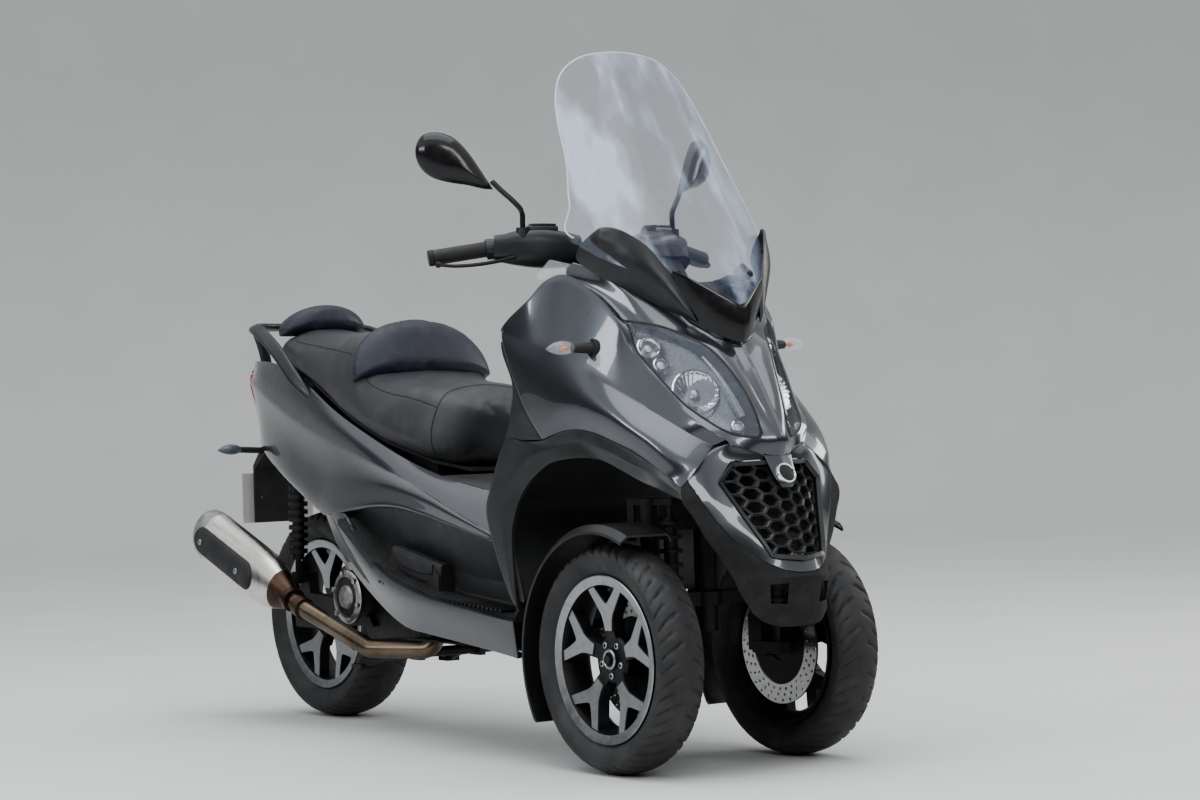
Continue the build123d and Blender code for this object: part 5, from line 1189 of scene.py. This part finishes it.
def lamps():
    inner = cowl_grid()
    inner[..., 1] += 62
    inner[..., 0] *= 0.97
    ob = shell([inner], 2.0)
    hole = outline2(LAMP)
    right = [(x * 1.01, z) for x, z in hole]
    both = temp_copy(ob)
    cut(ob, prism_y(right, -400, 160), "INTERSECT")
    cut(both, prism_y([(-x, z) for x, z in right], -400, 160), "INTERSECT")
    bm = bmesh.new()
    bm.from_mesh(ob.data)
    bm.from_mesh(both.data)
    for o in (ob, both):
        bpy.data.objects.remove(o)
    new_object("lamp_back_walls", bm, "lamp_grey", "chassis", "headlamp_reflectors", 40)
    rim_pts = [(x, z) for x, z in outline2(LAMP, 9)]
    tree = skin_tree(cowl_grid())
    bm = bmesh.new()
    for sx in (1, -1):
        outer = []
        deep = []
        for x, z in rim_pts:
            y = surface_y(tree, x, z)
            outer.append((sx * x * 1.0, y + 3.0, z))
            deep.append((sx * x * 0.97, y + 64.0, z))
        loops_faces(bm, [outer, deep], cap=(False, False))
    bmesh.ops.recalc_face_normals(bm, faces=bm.faces)
    ob = temp_object("wall", bm)
    mod = ob.modifiers.new("thick", "SOLIDIFY")
    mod.thickness = 0.002
    mod.offset = 0
    apply_mods(ob)
    finish_piece(ob, "lamp_side_walls", "trim_matt", "chassis", None, 0)
    bm = bmesh.new()
    for sx in (1, -1):
        path = []
        for x, z in rim_pts:
            path.append((sx * (112 + (x - 112) * 0.985), surface_y(tree, x, z) + 0.4, 822 + (z - 822) * 0.99))
        loops = []
        for k, p in enumerate(path):
            a, b = np.array(path[k - 1]), np.array(path[(k + 1) % len(path)])
            way = (b - a) / np.linalg.norm(b - a)
            side = np.cross(way, (0, 1, 0))
            side /= np.linalg.norm(side)
            front = np.cross(side, way)
            loops.append([np.array(p) + side * 2.6 * math.cos(t) + front * 1.5 * math.sin(t) for t in np.linspace(0, 2 * math.pi, 9)[:-1]])
        loops_faces(bm, loops, closed=True)
    bmesh.ops.recalc_face_normals(bm, faces=bm.faces)
    new_object("lamp_seals", bm, "trim_matt", "chassis", None, 50)
    bm = bmesh.new()
    for sx in (1, -1):
        for x, z, gap, r, deep, flutes in ((112, 804, 22, 49, 36, 26), (162, 897, 15, 24, 22, 0), (150, 862, 20, 15, 16, 0), (66, 726, 12, 12, 12, 0)):
            y = surface_y(tree, x, z)
            reflector(bm, (sx * (x - 0.25 * gap), y + gap, z - 0.35 * gap), (sx * 0.36, -1, 0.55), r, deep, flutes)
        strip = [(x, surface_y(tree, x, z) + 9, z) for x, z in ((92, 868), (78, 834), (66, 790), (56, 742))]
        swept(bm, [(sx * x, y, z) for x, y, z in strip], lambda t: 3 + 5 * t, 2.0, n=20, power=4, up=(sx * 0.4, -1, 0.6), samples=18, mat=2)
    bmesh.ops.recalc_face_normals(bm, faces=bm.faces)
    new_object("lamp_bowls", bm, ["chrome", "machined", "lamp_grey"], "chassis", None, 40)


def temp_copy(ob):
    other = ob.copy()
    other.data = ob.data.copy()
    bpy.context.collection.objects.link(other)
    return other


def skin_tree(grid):
    """Ray target over a grid of table points."""
    r, c = grid.shape[:2]
    verts = [tuple(p) for p in grid.reshape(-1, 3)]
    polys = [(i * c + j, (i + 1) * c + j, (i + 1) * c + j + 1, i * c + j + 1) for i in range(r - 1) for j in range(c - 1)]
    return BVHTree.FromPolygons(verts, polys)


def surface_y(tree, x, z, start=-700.0):
    """Table y of the surface ahead at an x and z, from the front."""
    for dx, dz in ((0, 0), (-1.5, 0), (1.5, 0), (0, -1.5), (0, 1.5), (-4, 0), (4, 0), (0, 4), (0, -4), (-8, -4), (-12, -8)):
        hit = tree.ray_cast(Vector((abs(x) + dx, start, z + dz)), Vector((0, 1, 0)))[0]
        if hit is not None:
            return hit.y
    return -200.0


# grille

FIELD = [(0, 452), (64, 459), (124, 606), (92, 641), (0, 643)]


def clipped(poly, field):
    """Part of a polygon inside a convex field, both as (x, z) points in one turning sense."""
    out = poly
    for (ax, az), (bx, bz) in zip(field, field[1:] + field[:1]):
        src, out = out, []
        for i, q in enumerate(src):
            p0 = src[i - 1]
            sp = (bx - ax) * (p0[1] - az) - (bz - az) * (p0[0] - ax)
            sq = (bx - ax) * (q[1] - az) - (bz - az) * (q[0] - ax)
            if (sp >= 0) != (sq >= 0):
                t = sp / (sp - sq)
                out.append((p0[0] + (q[0] - p0[0]) * t, p0[1] + (q[1] - p0[1]) * t))
            if sq >= 0:
                out.append(q)
        if len(out) < 3:
            return []
    clean = [q for i, q in enumerate(out) if math.dist(q, out[i - 1]) > 0.8]
    area = 0.5 * sum(p0[0] * q[1] - q[0] * p0[1] for p0, q in zip(clean, clean[1:] + clean[:1])) if len(clean) > 2 else 0
    return clean if abs(area) > 60 else []


def grille():
    tree = skin_tree(skin(carrier_rows(), 90, 10))
    right = [(x, z) for x, z in FIELD]
    outline = right + [(-x, z) for x, z in reversed(right) if x > 0]
    pitch_x, pitch_z = 45.0, 27.0
    shape = [(0.5, 0.0), (0.26, 0.5), (-0.26, 0.5), (-0.5, 0.0), (-0.26, -0.5), (0.26, -0.5)]

    def depth_at(x, z):
        return surface_y(tree, min(abs(x), 122), min(max(z, 456), 640))

    bm = bmesh.new()
    for col in range(-5, 6):
        for row in range(0, 9):
            cx = col * pitch_x * 0.76
            cz = 446 + row * pitch_z + (pitch_z / 2 if col % 2 else 0)
            cell = clipped([(cx + u * pitch_x, cz + w * pitch_z) for u, w in shape], outline)
            if not cell:
                continue
            mx = sum(q[0] for q in cell) / len(cell)
            mz = sum(q[1] for q in cell) / len(cell)
            reach = min(math.dist(q, (mx, mz)) for q in cell)
            rings = []
            for inset, deep in ((0.0, 8.5), (1.2, 6.6), (2.6, 6.6), (3.8, 8.6), (4.4, 20.0)):
                k = max(0.15, 1 - inset / reach)
                rings.append([(mx + (x - mx) * k, depth_at(x, z) + deep, mz + (z - mz) * k) for x, z in cell])
            loops_faces(bm, rings, cap=(False, False))
    bmesh.ops.recalc_face_normals(bm, faces=bm.faces)
    new_object("grille_mesh", bm, "mesh_grey", "chassis", "grille", 35)
    bm = bmesh.new()
    wide = [(x * 1.06, 548 + (z - 548) * 1.05) for x, z in outline]
    dense = []
    for k, p0 in enumerate(wide):
        q = wide[(k + 1) % len(wide)]
        dense += [(p0[0] + (q[0] - p0[0]) * t, p0[1] + (q[1] - p0[1]) * t) for t in np.linspace(0, 1, 9)[:-1]]
    loops_faces(bm, [[(x, depth_at(x, z) + 3, z) for x, z in dense], [(x * 0.99, depth_at(x, z) + 26, z) for x, z in dense],
                     [(x * 0.5, depth_at(x, z) + 26, 548 + (z - 548) * 0.5) for x, z in dense]], cap=(False, True))
    bmesh.ops.recalc_face_normals(bm, faces=bm.faces)
    new_object("grille_backing", bm, "under", "chassis", None, 35)
    bm = bmesh.new()
    line = [(x * 1.035, 548 + (z - 548) * 1.035) for x, z in outline]
    dense = []
    for k, p in enumerate(line):
        q = line[(k + 1) % len(line)]
        dense += [(p[0] + (q[0] - p[0]) * t, p[1] + (q[1] - p[1]) * t) for t in np.linspace(0, 1, 9)[:-1]]
    pts = [np.array((x, surface_y(tree, x, z) - 0.5, z)) for x, z in dense]
    loops = []
    for k, p in enumerate(pts):
        way = pts[(k + 1) % len(pts)] - pts[k - 1]
        way /= np.linalg.norm(way)
        side = np.cross(way, (0, 1, 0))
        side /= np.linalg.norm(side)
        front = np.cross(side, way)
        loops.append([p + side * a + front * b for a, b in ((-4.5, -6), (-4.2, 1.5), (-2.5, 2.8), (2.0, 2.2), (4.5, 0.4), (4.5, -3))])
    loops_faces(bm, loops, closed=True)
    bmesh.ops.recalc_face_normals(bm, faces=bm.faces)
    new_object("grille_surround", bm, "trim_satin", "chassis", None, 30)
    bm = bmesh.new()
    y = surface_y(tree, 0, 621) - 7
    ax = np.array((0, -0.884, 0.468))
    e1, e2 = np.array((1.0, 0, 0)), np.array((0, 0.468, 0.884))
    for prof, mat in ((((23, -10), (23, 3), (22, 4.8), (19.5, 5.0), (18.5, 3.6)), 0), (((18.5, 3.4), (12, 4.4), (6, 5.0), (0.3, 5.2)), 1)):
        loops = [[np.array((0, y - 8.5, 622)) + ax * h + e1 * r * math.cos(2 * math.pi * k / 48) + e2 * r * math.sin(2 * math.pi * k / 48) for k in range(48)] for r, h in prof]
        loops_faces(bm, loops, mat, cap=(mat == 0, mat == 1))
    bmesh.ops.recalc_face_normals(bm, faces=bm.faces)
    new_object("blank_badge", bm, ["chrome", "gloss"], "chassis", None, 40)
    bm = bmesh.new()
    beak = [[(0, y + 10, 659), (0, y + 2, 643), (0, y - 8, 624), (0, y - 17, 606), (0, y - 16, 594)],
            [(36, y + 17, 661), (33, y + 9, 645), (30, y - 2, 625), (23, y - 11, 606), (12, y - 13, 593)]]
    ob = shell([skin(beak, 24, 6)], 6.0)
    bm.free()
    finish_piece(ob, "beak_tab", "paint_dark", "chassis", None, 1.2)


# screen foot, wings and garnish

def wings():
    inner = [(84, -109, 940), (95, -93, 985), (108, -80, 1022), (130, -64, 1059), (158, -38, 1105), (180, -12, 1129), (196, 8, 1142), (208, 34, 1149), (218, 50, 1147)]
    outer = [(84, -109, 940), (106, -74, 957), (135, -38, 979), (170, 8, 1009), (200, 42, 1034), (222, 79, 1058), (236, 107, 1082), (238, 103, 1104), (231, 80, 1126), (218, 50, 1147)]
    mid = [((a[0] + b[0]) / 2 + 8 * f, (a[1] + b[1]) / 2 - 22 * f, (a[2] + b[2]) / 2) for a, b, f in
           zip(spline(inner, 12), spline(outer, 12), np.sin(np.linspace(0, math.pi, 12)) ** 0.6)]
    ob = shell([skin([inner, mid, outer], 60, 9)], 5.0, (0, 120, 1050))
    finish_piece(ob, "screen_wings", "trim_satin", "chassis", "deflectors", 1.6)
    high = [(122, -74, 1052), (105, -96, 1040), (80, -113, 1024), (50, -132, 1004), (20, -150, 984), (0, -158, 972)]
    low = [(108, -66, 968), (92, -86, 946), (74, -104, 930), (50, -126, 916), (24, -144, 902), (0, -156, 896)]
    midv = [((a[0] + b[0]) / 2, (a[1] + b[1]) / 2 - 5, (a[2] + b[2]) / 2) for a, b in zip(high, low)]
    ob = shell([skin([high, midv, low], 40, 6)], 4.0, (0, 60, 950))
    finish_piece(ob, "vee_garnish", "gloss", "chassis", None, 1.2)


def screen_edge():
    """Polished bead along the screen's rim, and its four foot screws."""
    outline = [(252, 1128), (259, 1149), (240, 1193), (232, 1227), (219, 1276), (210, 1318), (204, 1363),
               (190, 1428), (170, 1478), (140, 1514), (90, 1540), (0, 1550)]
    half = [(x, z) for x, z in outline]
    rim = half + [(-x, z) for x, z in reversed(half) if x > 0]
    lobe_out = [(214, 112, 1052), (221, 148, 1076, 1), (234, 214, 1090, 1), (243, 250, 1060)]
    lobe_in = [(212, 100, 1034), (220, 134, 1041), (231, 202, 1051), (240, 248, 1046)]
    ob = shell([skin([lobe_in, lobe_out], 24, 4)], 3.0, (0, 200, 1050))
    finish_piece(ob, "screen_lobes", "lens", "chassis", None, 0)

    def at(x, z, gap=0.0):
        foot = -123 - 0.66 * 36
        return (x, foot + 336 - math.sqrt(max((336 - gap) ** 2 - x * x, 0)) + 0.66 * (z - 940), z)

    bm = bmesh.new()
    swept(bm, [at(x, z, 1.5) for x, z in rim], 2.2, 1.7, n=8, samples=170, up=(0, -1, 0.5))
    new_object("screen_rim", bm, "screen_rim", "chassis", None, 60)
    bm = bmesh.new()
    for sx in (1, -1):
        for x, z in ((96, 1046), (196, 1098)):
            p = np.array(at(sx * x, z, -1.0))
            ax = np.array((sx * x / 336, -0.8, 0.3))
            ax /= np.linalg.norm(ax)
            e1 = np.cross(ax, (0, 0, 1))
            e1 /= np.linalg.norm(e1)
            e2 = np.cross(e1, ax)
            loops = [[p + ax * h + (e1 * math.cos(2 * math.pi * k / 20) + e2 * math.sin(2 * math.pi * k / 20)) * r for k in range(20)]
                     for r, h in ((7, -2), (7, 1.5), (5.5, 3), (2.5, 3), (2.2, 1.2), (0.2, 1.2))]
            loops_faces(bm, loops)
    bmesh.ops.recalc_face_normals(bm, faces=bm.faces)
    new_object("screen_screws", bm, "black_metal", "chassis", None, 40)


# handlebar dress

def handlebar_dress():
    bm = bmesh.new()
    for sx in (1, -1):
        path = [(sx * 84, 332, 1116), (sx * 130, 344, 1120), (sx * 180, 366, 1124), (sx * 226, 392, 1124), (sx * 246, 406, 1124)]
        swept(bm, path, lambda t: 40 - 8 * t ** 2, lambda t: 34 + 10 * math.sin(math.pi * min(1, t * 1.1)) - 4 * t ** 3, n=32, power=3.4, samples=30)
        swept(bm, [(sx * 246, 407, 1124), (sx * 252, 411, 1124), (sx * 262, 417, 1123)], 23, 23, n=24, samples=8)
        cap = [(sx * 128, 343, 1160), (sx * 156, 352, 1161), (sx * 186, 364, 1161)]
        swept(bm, cap, 22, lambda t: 12.0, n=24, power=5, samples=14)
        swept(bm, [(sx * 132, 343, 1173), (sx * 156, 351, 1174), (sx * 182, 362, 1174)], 19, 3.0, n=24, power=6, samples=12)
        swept(bm, [(sx * 205, 356, 1140), (sx * 205, 356, 1168)], 15, 15, n=20, samples=6, up=(0, 1, 0))
    bmesh.ops.recalc_face_normals(bm, faces=bm.faces)
    new_object("control_cover_skins", bm, "trim_satin", "steering", "control_covers", 40)
    bm = bmesh.new()
    for sx in (1, -1):
        swept(bm, [(sx * 228, 352, 1104), (sx * 262, 376, 1095), (sx * 300, 398, 1089), (sx * 340, 424, 1087), (sx * 368, 444, 1091)],
              lambda t: 9 - 3 * t, lambda t: 4.5 - 0.8 * t, n=16, samples=30)
        swept(bm, [(sx * 366, 443, 1091), (sx * 374, 449, 1092)], 7, 7, n=14, samples=5)
    bmesh.ops.recalc_face_normals(bm, faces=bm.faces)
    new_object("lever_blades", bm, "black_metal", "steering", "brake_levers", 40)
    bm = bmesh.new()
    for sx in (1, -1):
        a, b = np.array((sx * 262.0, 415, 1124)), np.array((sx * 372.0, 470, 1107))
        a[2] = 1126 - 19 * (262 - 248) / 124
        loops = []
        n = 28
        way = (b - a) / np.linalg.norm(b - a)
        e1 = np.cross(way, (0, 0, 1))
        e1 /= np.linalg.norm(e1)
        e2 = np.cross(e1, way)
        length = np.linalg.norm(b - a)
        prof = [(0, 20), (3, 20), (4, 17)]
        for k in range(26):
            t = 6 + (length - 14) * k / 26
            prof += [(t, 16.6), (t + 1.2, 17.4), (t + 2.4, 17.4)]
        prof += [(length - 6, 17.0), (length - 5, 15)]
        for h, r in prof:
            loops.append([a + way * h + (e1 * math.cos(2 * math.pi * k / n) + e2 * math.sin(2 * math.pi * k / n)) * r for k in range(n)])
        loops_faces(bm, loops, 0)
        loops = [[a + way * (length + h) + (e1 * math.cos(2 * math.pi * k / n) + e2 * math.sin(2 * math.pi * k / n)) * r for k in range(n)]
                 for h, r in ((-7, 14), (-5, 18), (4, 18), (7, 16.5), (8, 12), (6.5, 6), (6.5, 0.3))]
        loops_faces(bm, loops[:5], 2, cap=(True, False))
        loops_faces(bm, loops[4:], 1, cap=(False, True))
    bmesh.ops.recalc_face_normals(bm, faces=bm.faces)
    new_object("grip_rubbers", bm, ["rubber", "machined", "black_metal"], "steering", "grips", 50)
    bm = bmesh.new()
    turn = math.radians(30)
    head = [(2, 1254, 1), (24, 1290), (54, 1336), (84, 1368), (118, 1382), (152, 1378), (168, 1356), (170, 1330), (158, 1302), (136, 1284), (100, 1272), (60, 1265), (24, 1256)]
    for sx in (1, -1):
        outline = [(u, w - 1320) for u, w in outline2(head, 5)]
        if sx < 0:
            outline = outline[::-1]
        origin = (sx * 252, 394, 1320)
        wide = (sx * math.cos(turn), math.sin(turn), 0)
        pillow(bm, outline, origin, wide, (0, 0, 1), (104, 8), 26, 3, mat=0, power=0.62, rings=12)
        rim_o = [(u * 0.985 + 1.5, w * 0.98) for u, w in outline]
        glass = [np.array(origin) + np.array(wide) * u + np.array((0, 0, 1)) * w - np.array((math.sin(turn) * sx, -math.cos(turn), 0)) * -3.4 for u, w in rim_o]
        glass2 = [np.array(origin) + np.array(wide) * (104 + (u - 104) * 0.93) + np.array((0, 0, 1)) * (8 + (w - 8) * 0.92) + np.array((-math.sin(turn) * sx, math.cos(turn), 0)) * 3.6 for u, w in outline]
        f = bm.faces.new([bm.verts.new(V(*p)) for p in glass2])
        f.material_index = 1
        stem = [(sx * 205, 356, 1152), (sx * 205, 356, 1176), (sx * 206, 357, 1204), (sx * 222, 364, 1226), (sx * 246, 378, 1252), (sx * 262, 388, 1272)]
        swept(bm, stem, 6.0, 6.0, n=16, samples=40, up=(0, 1, 0))
        swept(bm, [(sx * 205, 356, 1150), (sx * 205, 356, 1166)], 12, 12, n=16, samples=5, up=(0, 1, 0))
    new_object("mirror_heads", bm, ["gloss", "chrome"], "steering", "mirrors", 35)


# grab rail, indicators

def grab_rails():
    bm = bmesh.new()
    right = [(-172, 1362, 806), (-184, 1392, 838), (-190, 1430, 872), (-188, 1490, 920), (-180, 1560, 958), (-166, 1630, 984), (-140, 1700, 996), (-90, 1768, 1000), (0, 1792, 1000)]
    path = right + [(-x, y, z) for x, y, z in reversed(right[:-1])]

    def thin(t):
        side = math.sin(math.pi * t)
        x = -math.cos(math.pi * t)
        return (x * 0.85, 0.35 * side, 0.55 + 0.45 * side)

    swept(bm, path, lambda t: 17 * min(1.0, (0.06 + 14 * min(t, 1 - t)) ** 0.5), lambda t: 8.0 * min(1.0, (0.1 + 12 * min(t, 1 - t)) ** 0.5), n=20, power=2.8, samples=110, twist=thin)
    for sx in (1, -1):
        swept(bm, [(sx * 84, 1742, 890), (sx * 92, 1745, 940), (sx * 108, 1748, 990)], 15, 9, n=16, samples=14, up=(0, 1, 0))
    bmesh.ops.recalc_face_normals(bm, faces=bm.faces)
    new_object("grab_rail_blade", bm, "trim_satin", "chassis", "grab_rails", 45)


def indicators():
    stalk = bmesh.new()
    lens = bmesh.new()
    for sx in (1, -1):
        swept(stalk, [(sx * 236, 56, 895), (sx * 262, 62, 895), (sx * 284, 66, 895)], lambda t: 13 - 4 * t, lambda t: 13 - 4 * t, n=20, samples=12)
        swept(stalk, [(sx * 226, 54, 895), (sx * 240, 57, 895)], 19, 19, n=24, samples=5)
        path = [(sx * 280, 66, 895), (sx * 296, 67, 896), (sx * 318, 68, 896), (sx * 336, 70, 895), (sx * 347, 71, 894)]
        swept(lens, path, lambda t: 16.0 * max(0.08, (1 - (2 * t - 0.85) ** 2 * 0.72)) ** 0.9, lambda t: 15.0 * max(0.08, (1 - (2 * t - 0.85) ** 2 * 0.72)) ** 0.9, n=24, samples=26, mat=0)
        swept(lens, [(sx * 294, 67, 895), (sx * 302, 67, 895), (sx * 312, 67.5, 895)], lambda t: 5.4 * math.sin(math.pi * (0.15 + 0.7 * t)), lambda t: 5.4 * math.sin(math.pi * (0.15 + 0.7 * t)), n=16, samples=12, mat=1)
        swept(stalk, [(sx * 70, 1806, 680), (sx * 104, 1806, 682), (sx * 138, 1808, 684)], 9, 8, n=16, samples=10)
        swept(lens, [(sx * 134, 1808, 684), (sx * 152, 1810, 685), (sx * 176, 1812, 685), (sx * 198, 1814, 684)],
              lambda t: 17.0 * max(0.1, (1 - (2 * t - 0.85) ** 2 * 0.7)), lambda t: 14.0 * max(0.1, (1 - (2 * t - 0.85) ** 2 * 0.7)), n=24, samples=24, mat=2)
    for b in (stalk, lens):
        bmesh.ops.recalc_face_normals(b, faces=b.faces)
    new_object("indicator_stems", stalk, "trim_matt", "chassis", "indicator_stalks", 40)
    new_object("indicator_lamps", lens, ["lens", "amber", "smoke"], "chassis", "indicator_lenses", 50)


# exhaust

def exhaust():
    front = np.array((-226.0, 1402, 318))
    rear = np.array((-226.0, 1830, 476))
    way = (rear - front) / np.linalg.norm(rear - front)
    length = float(np.linalg.norm(rear - front))
    e1 = np.array((1.0, 0, 0))
    e2 = np.cross(way, e1)
    e2 = e2 if e2[2] > 0 else -e2

    def ring(t, size, n=72, dx=0.0):
        return [front + way * length * t + e1 * 52 * size * math.cos(2 * math.pi * k / n) + e2 * 70 * size * math.sin(2 * math.pi * k / n) for k in range(n)]

    bm = bmesh.new()
    shape = [(0.0, 0.40), (0.02, 0.47), (0.06, 0.58), (0.12, 0.74), (0.2, 0.90), (0.3, 0.985), (0.4, 1.0), (0.84, 1.0), (0.85, 1.015), (0.87, 1.015), (0.875, 1.0)]
    loops_faces(bm, [ring(t, sz) for t, sz in shape[:4]], 2, cap=(True, False))
    loops_faces(bm, [ring(t, sz) for t, sz in shape[3:]], 0, cap=(False, False))
    cap = [(0.875, 1.0), (0.93, 0.99), (0.96, 0.95), (0.985, 0.87), (0.995, 0.78), (1.0, 0.66), (0.99, 0.62), (0.985, 0.50), (0.985, 0.02)]
    loops_faces(bm, [ring(t, sz) for t, sz in cap], 1, cap=(False, True))
    c = front + way * length * 0.985
    tip = [[c + way * h + (e1 * math.cos(2 * math.pi * k / 32) + e2 * math.sin(2 * math.pi * k / 32)) * r for k in range(32)]
           for r, h in ((22, -4), (22, 14), (20, 14.5), (19, 13), (19, -20), (0.3, -20))]
    loops_faces(bm, tip, 1)
    bmesh.ops.recalc_face_normals(bm, faces=bm.faces)
    new_object("silencer_can", bm, ["steel", "alloy", "burnt"], "chassis", "silencer", 40)
    bm = bmesh.new()
    mid = front + way * length * 0.60 - e1 * 51

    def slot(half_l, half_h, lift, n=20):
        pts = []
        for k in range(n + 1):
            a = -math.pi / 2 + math.pi * k / n
            pts.append((half_l - half_h + half_h * math.cos(a), half_h * math.sin(a)))
        for k in range(n + 1):
            a = math.pi / 2 + math.pi * k / n
            pts.append((-(half_l - half_h) + half_h * math.cos(a), half_h * math.sin(a)))
        out = []
        for u, v in pts:
            lean = 1 - math.sqrt(max(0, 1 - (v / 70) ** 2))
            out.append(mid + way * u + e2 * v - e1 * (lift - 52 * lean))
        return out

    loops_faces(bm, [slot(152, 37, -6), slot(152, 37, 2.5), slot(148, 33, 5.6), slot(143, 28, 6.4), slot(120, 8, 6.4)], 0)
    for u in (-86, 112):
        c = mid + way * u - e1 * 6.0
        loops = [[c - e1 * h + (way * math.cos(2 * math.pi * k / 18) + e2 * math.sin(2 * math.pi * k / 18)) * r for k in range(18)]
                 for r, h in ((8, -1), (8, 2), (6.5, 4), (3.4, 4.4), (3.0, 2.4), (0.2, 2.4))]
        loops_faces(bm, loops, 1)
    bmesh.ops.recalc_face_normals(bm, faces=bm.faces)
    new_object("silencer_shield_plate", bm, ["trim_matt", "machined"], "chassis", "silencer_shield", 35)
    bm = bmesh.new()
    for t0, r in ((-0.02, 30), (0.012, 27)):
        c = front + way * length * t0
        loops = [[c + way * h + (e1 * math.cos(2 * math.pi * k / 40) + e2 * math.sin(2 * math.pi * k / 40)) * rr for k in range(40)]
                 for rr, h in ((r - 3, -9), (r, -8), (r, 8), (r - 3, 9))]
        loops_faces(bm, loops, 0)
    collar = front - way * 58
    loops = [[collar + way * h + (e1 * math.cos(2 * math.pi * k / 40) + e2 * math.sin(2 * math.pi * k / 40)) * rr for k in range(40)]
             for rr, h in ((22, -14), (27, -13), (27, 13), (22, 14))]
    loops_faces(bm, loops, 0)
    bmesh.ops.recalc_face_normals(bm, faces=bm.faces)
    new_object("pipe_collars", bm, "burnt", "chassis", None, 35)


lamps()
grille()
wings()
screen_edge()
handlebar_dress()
grab_rails()
indicators()
exhaust()

# footwell dress and engine covers

def footwell():
    """Ribbed mats on the boards and folded passenger pegs."""
    bm = bmesh.new()
    for sx in (1, -1):
        for k in range(30):
            y = 400 + k * 17.5
            z = 328 + (y - 400) * 0.062 + max(0, y - 700) ** 1.6 * 0.0032
            swept(bm, [(sx * 196, y, z), (sx * 236, y - 3, z + 0.6), (sx * 272, y - 8, z + 1.5)], 4.0, 3.2, n=8, power=3, samples=5)
    bmesh.ops.recalc_face_normals(bm, faces=bm.faces)
    new_object("footboard_ribs", bm, "rubber", "chassis", None, 40)
    bm = bmesh.new()
    for sx in (1, -1):
        swept(bm, [(sx * 214, 700, 396), (sx * 219, 760, 402), (sx * 220, 850, 420), (sx * 214, 912, 436)], lambda t: 15 + 4 * math.sin(math.pi * t), lambda t: 24 + 8 * math.sin(math.pi * t), n=28, power=4, samples=24)
        swept(bm, [(sx * 232, 724, 408), (sx * 238, 780, 416), (sx * 237, 850, 430), (sx * 231, 892, 440)], lambda t: 5.0, lambda t: 12 + 5 * math.sin(math.pi * t), n=20, power=4, samples=20)
    bmesh.ops.recalc_face_normals(bm, faces=bm.faces)
    new_object("passenger_pegs", bm, "trim_matt", "chassis", None, 40)


def engine_dress():
    """Stepped ring cover with six bolts on the engine's right side."""
    bm = bmesh.new()
    centre = (-150, WHEELBASE - 312, 322)
    prof = [(-0, 66), (-10, 66), (-14, 62), (-16, 50), (-13, 46), (-13, 30), (-20, 26), (-22, 14), (-22, 0.01)]
    lathe(bm, centre, prof, 72, [0, 1, 1, 0, 0, 1, 1, 1, 0], close=False)
    for k in range(6):
        a = 2 * math.pi * k / 6 + 0.3
        c = (-150, centre[1] + 58 * math.cos(a), centre[2] + 58 * math.sin(a))
        lathe(bm, c, [(-12, 7), (-20, 6.5), (-21, 5), (-21, 0.01)], 16, [1, 1, 1, 1], close=False)
    bmesh.ops.recalc_face_normals(bm, faces=bm.faces)
    new_object("engine_ring_cover", bm, ["engine", "alloy"], "chassis", None, 35)


def stitches(bm, path, step=6.5, length=4.2):
    """Row of raised thread stitches along a path."""
    pts = np.array(path, float)
    seg = np.linalg.norm(np.diff(pts, axis=0), axis=1)
    run = np.concatenate([[0], np.cumsum(seg)])
    for d in np.arange(2, run[-1] - length, step):
        a, b = (np.array([np.interp(v, run, pts[:, i]) for i in range(3)]) for v in (d, d + length))
        way = (b - a) / np.linalg.norm(b - a)
        side = np.cross(way, (0, 0, 1.0))
        side /= max(1e-6, np.linalg.norm(side))
        up = np.cross(side, way)
        loops_faces(bm, [[p + side * u * w + up * v * w for u, v in ((0.8, 0), (0, 0.8), (-0.8, 0), (0, -0.8))] for p, w in ((a, 0.5), ((a + b) / 2, 1.0), (b, 0.5))])


def seat_seams():
    """Piping and double stitching that follow the seat's panels."""
    loops = np.array(seat_form())
    piping = bmesh.new()
    thread = bmesh.new()
    last = loops.shape[1]

    def lifted(points, by):
        out = []
        for p in points:
            loc, nrm = SEAT_TREE[0].find_nearest(V(*p))[:2]
            c = (loc + nrm * by / 1000) * 1000
            out.append(np.array((c.x, c.y - AXLE_Y, c.z)))
        return out

    for side in (0, 1):
        line = [loops[i][last - 25 if side else 25] for i in range(9, 82)]
        swept(piping, lifted(line, -0.2), 1.6, 1.6, n=8, samples=110)
        for step in (-1, 1):
            k = 25 + step
            other = [loops[i][last - k if side else k] for i in range(9, 82)]
            near = [p * 0.45 + q * 0.55 for p, q in zip(line, other)]
            stitches(thread, lifted(near, 0.2))
    span = list(range(15, 40)) + list(range(40, last - 14))
    swept(piping, lifted([loops[9][k] for k in span], -0.2), 1.6, 1.6, n=8, samples=110)
    for off in (-1, 1):
        stitches(thread, lifted([loops[9][k] * 0.5 + loops[9 + off][k] * 0.5 for k in span], 0.2))
    for b in (piping, thread):
        bmesh.ops.recalc_face_normals(b, faces=b.faces)
    new_object("seat_piping", piping, "trim_matt", "seat", None, 60)
    new_object("seat_stitching", thread, "thread", "seat", None, 60)


footwell()
engine_dress()
seat_seams()
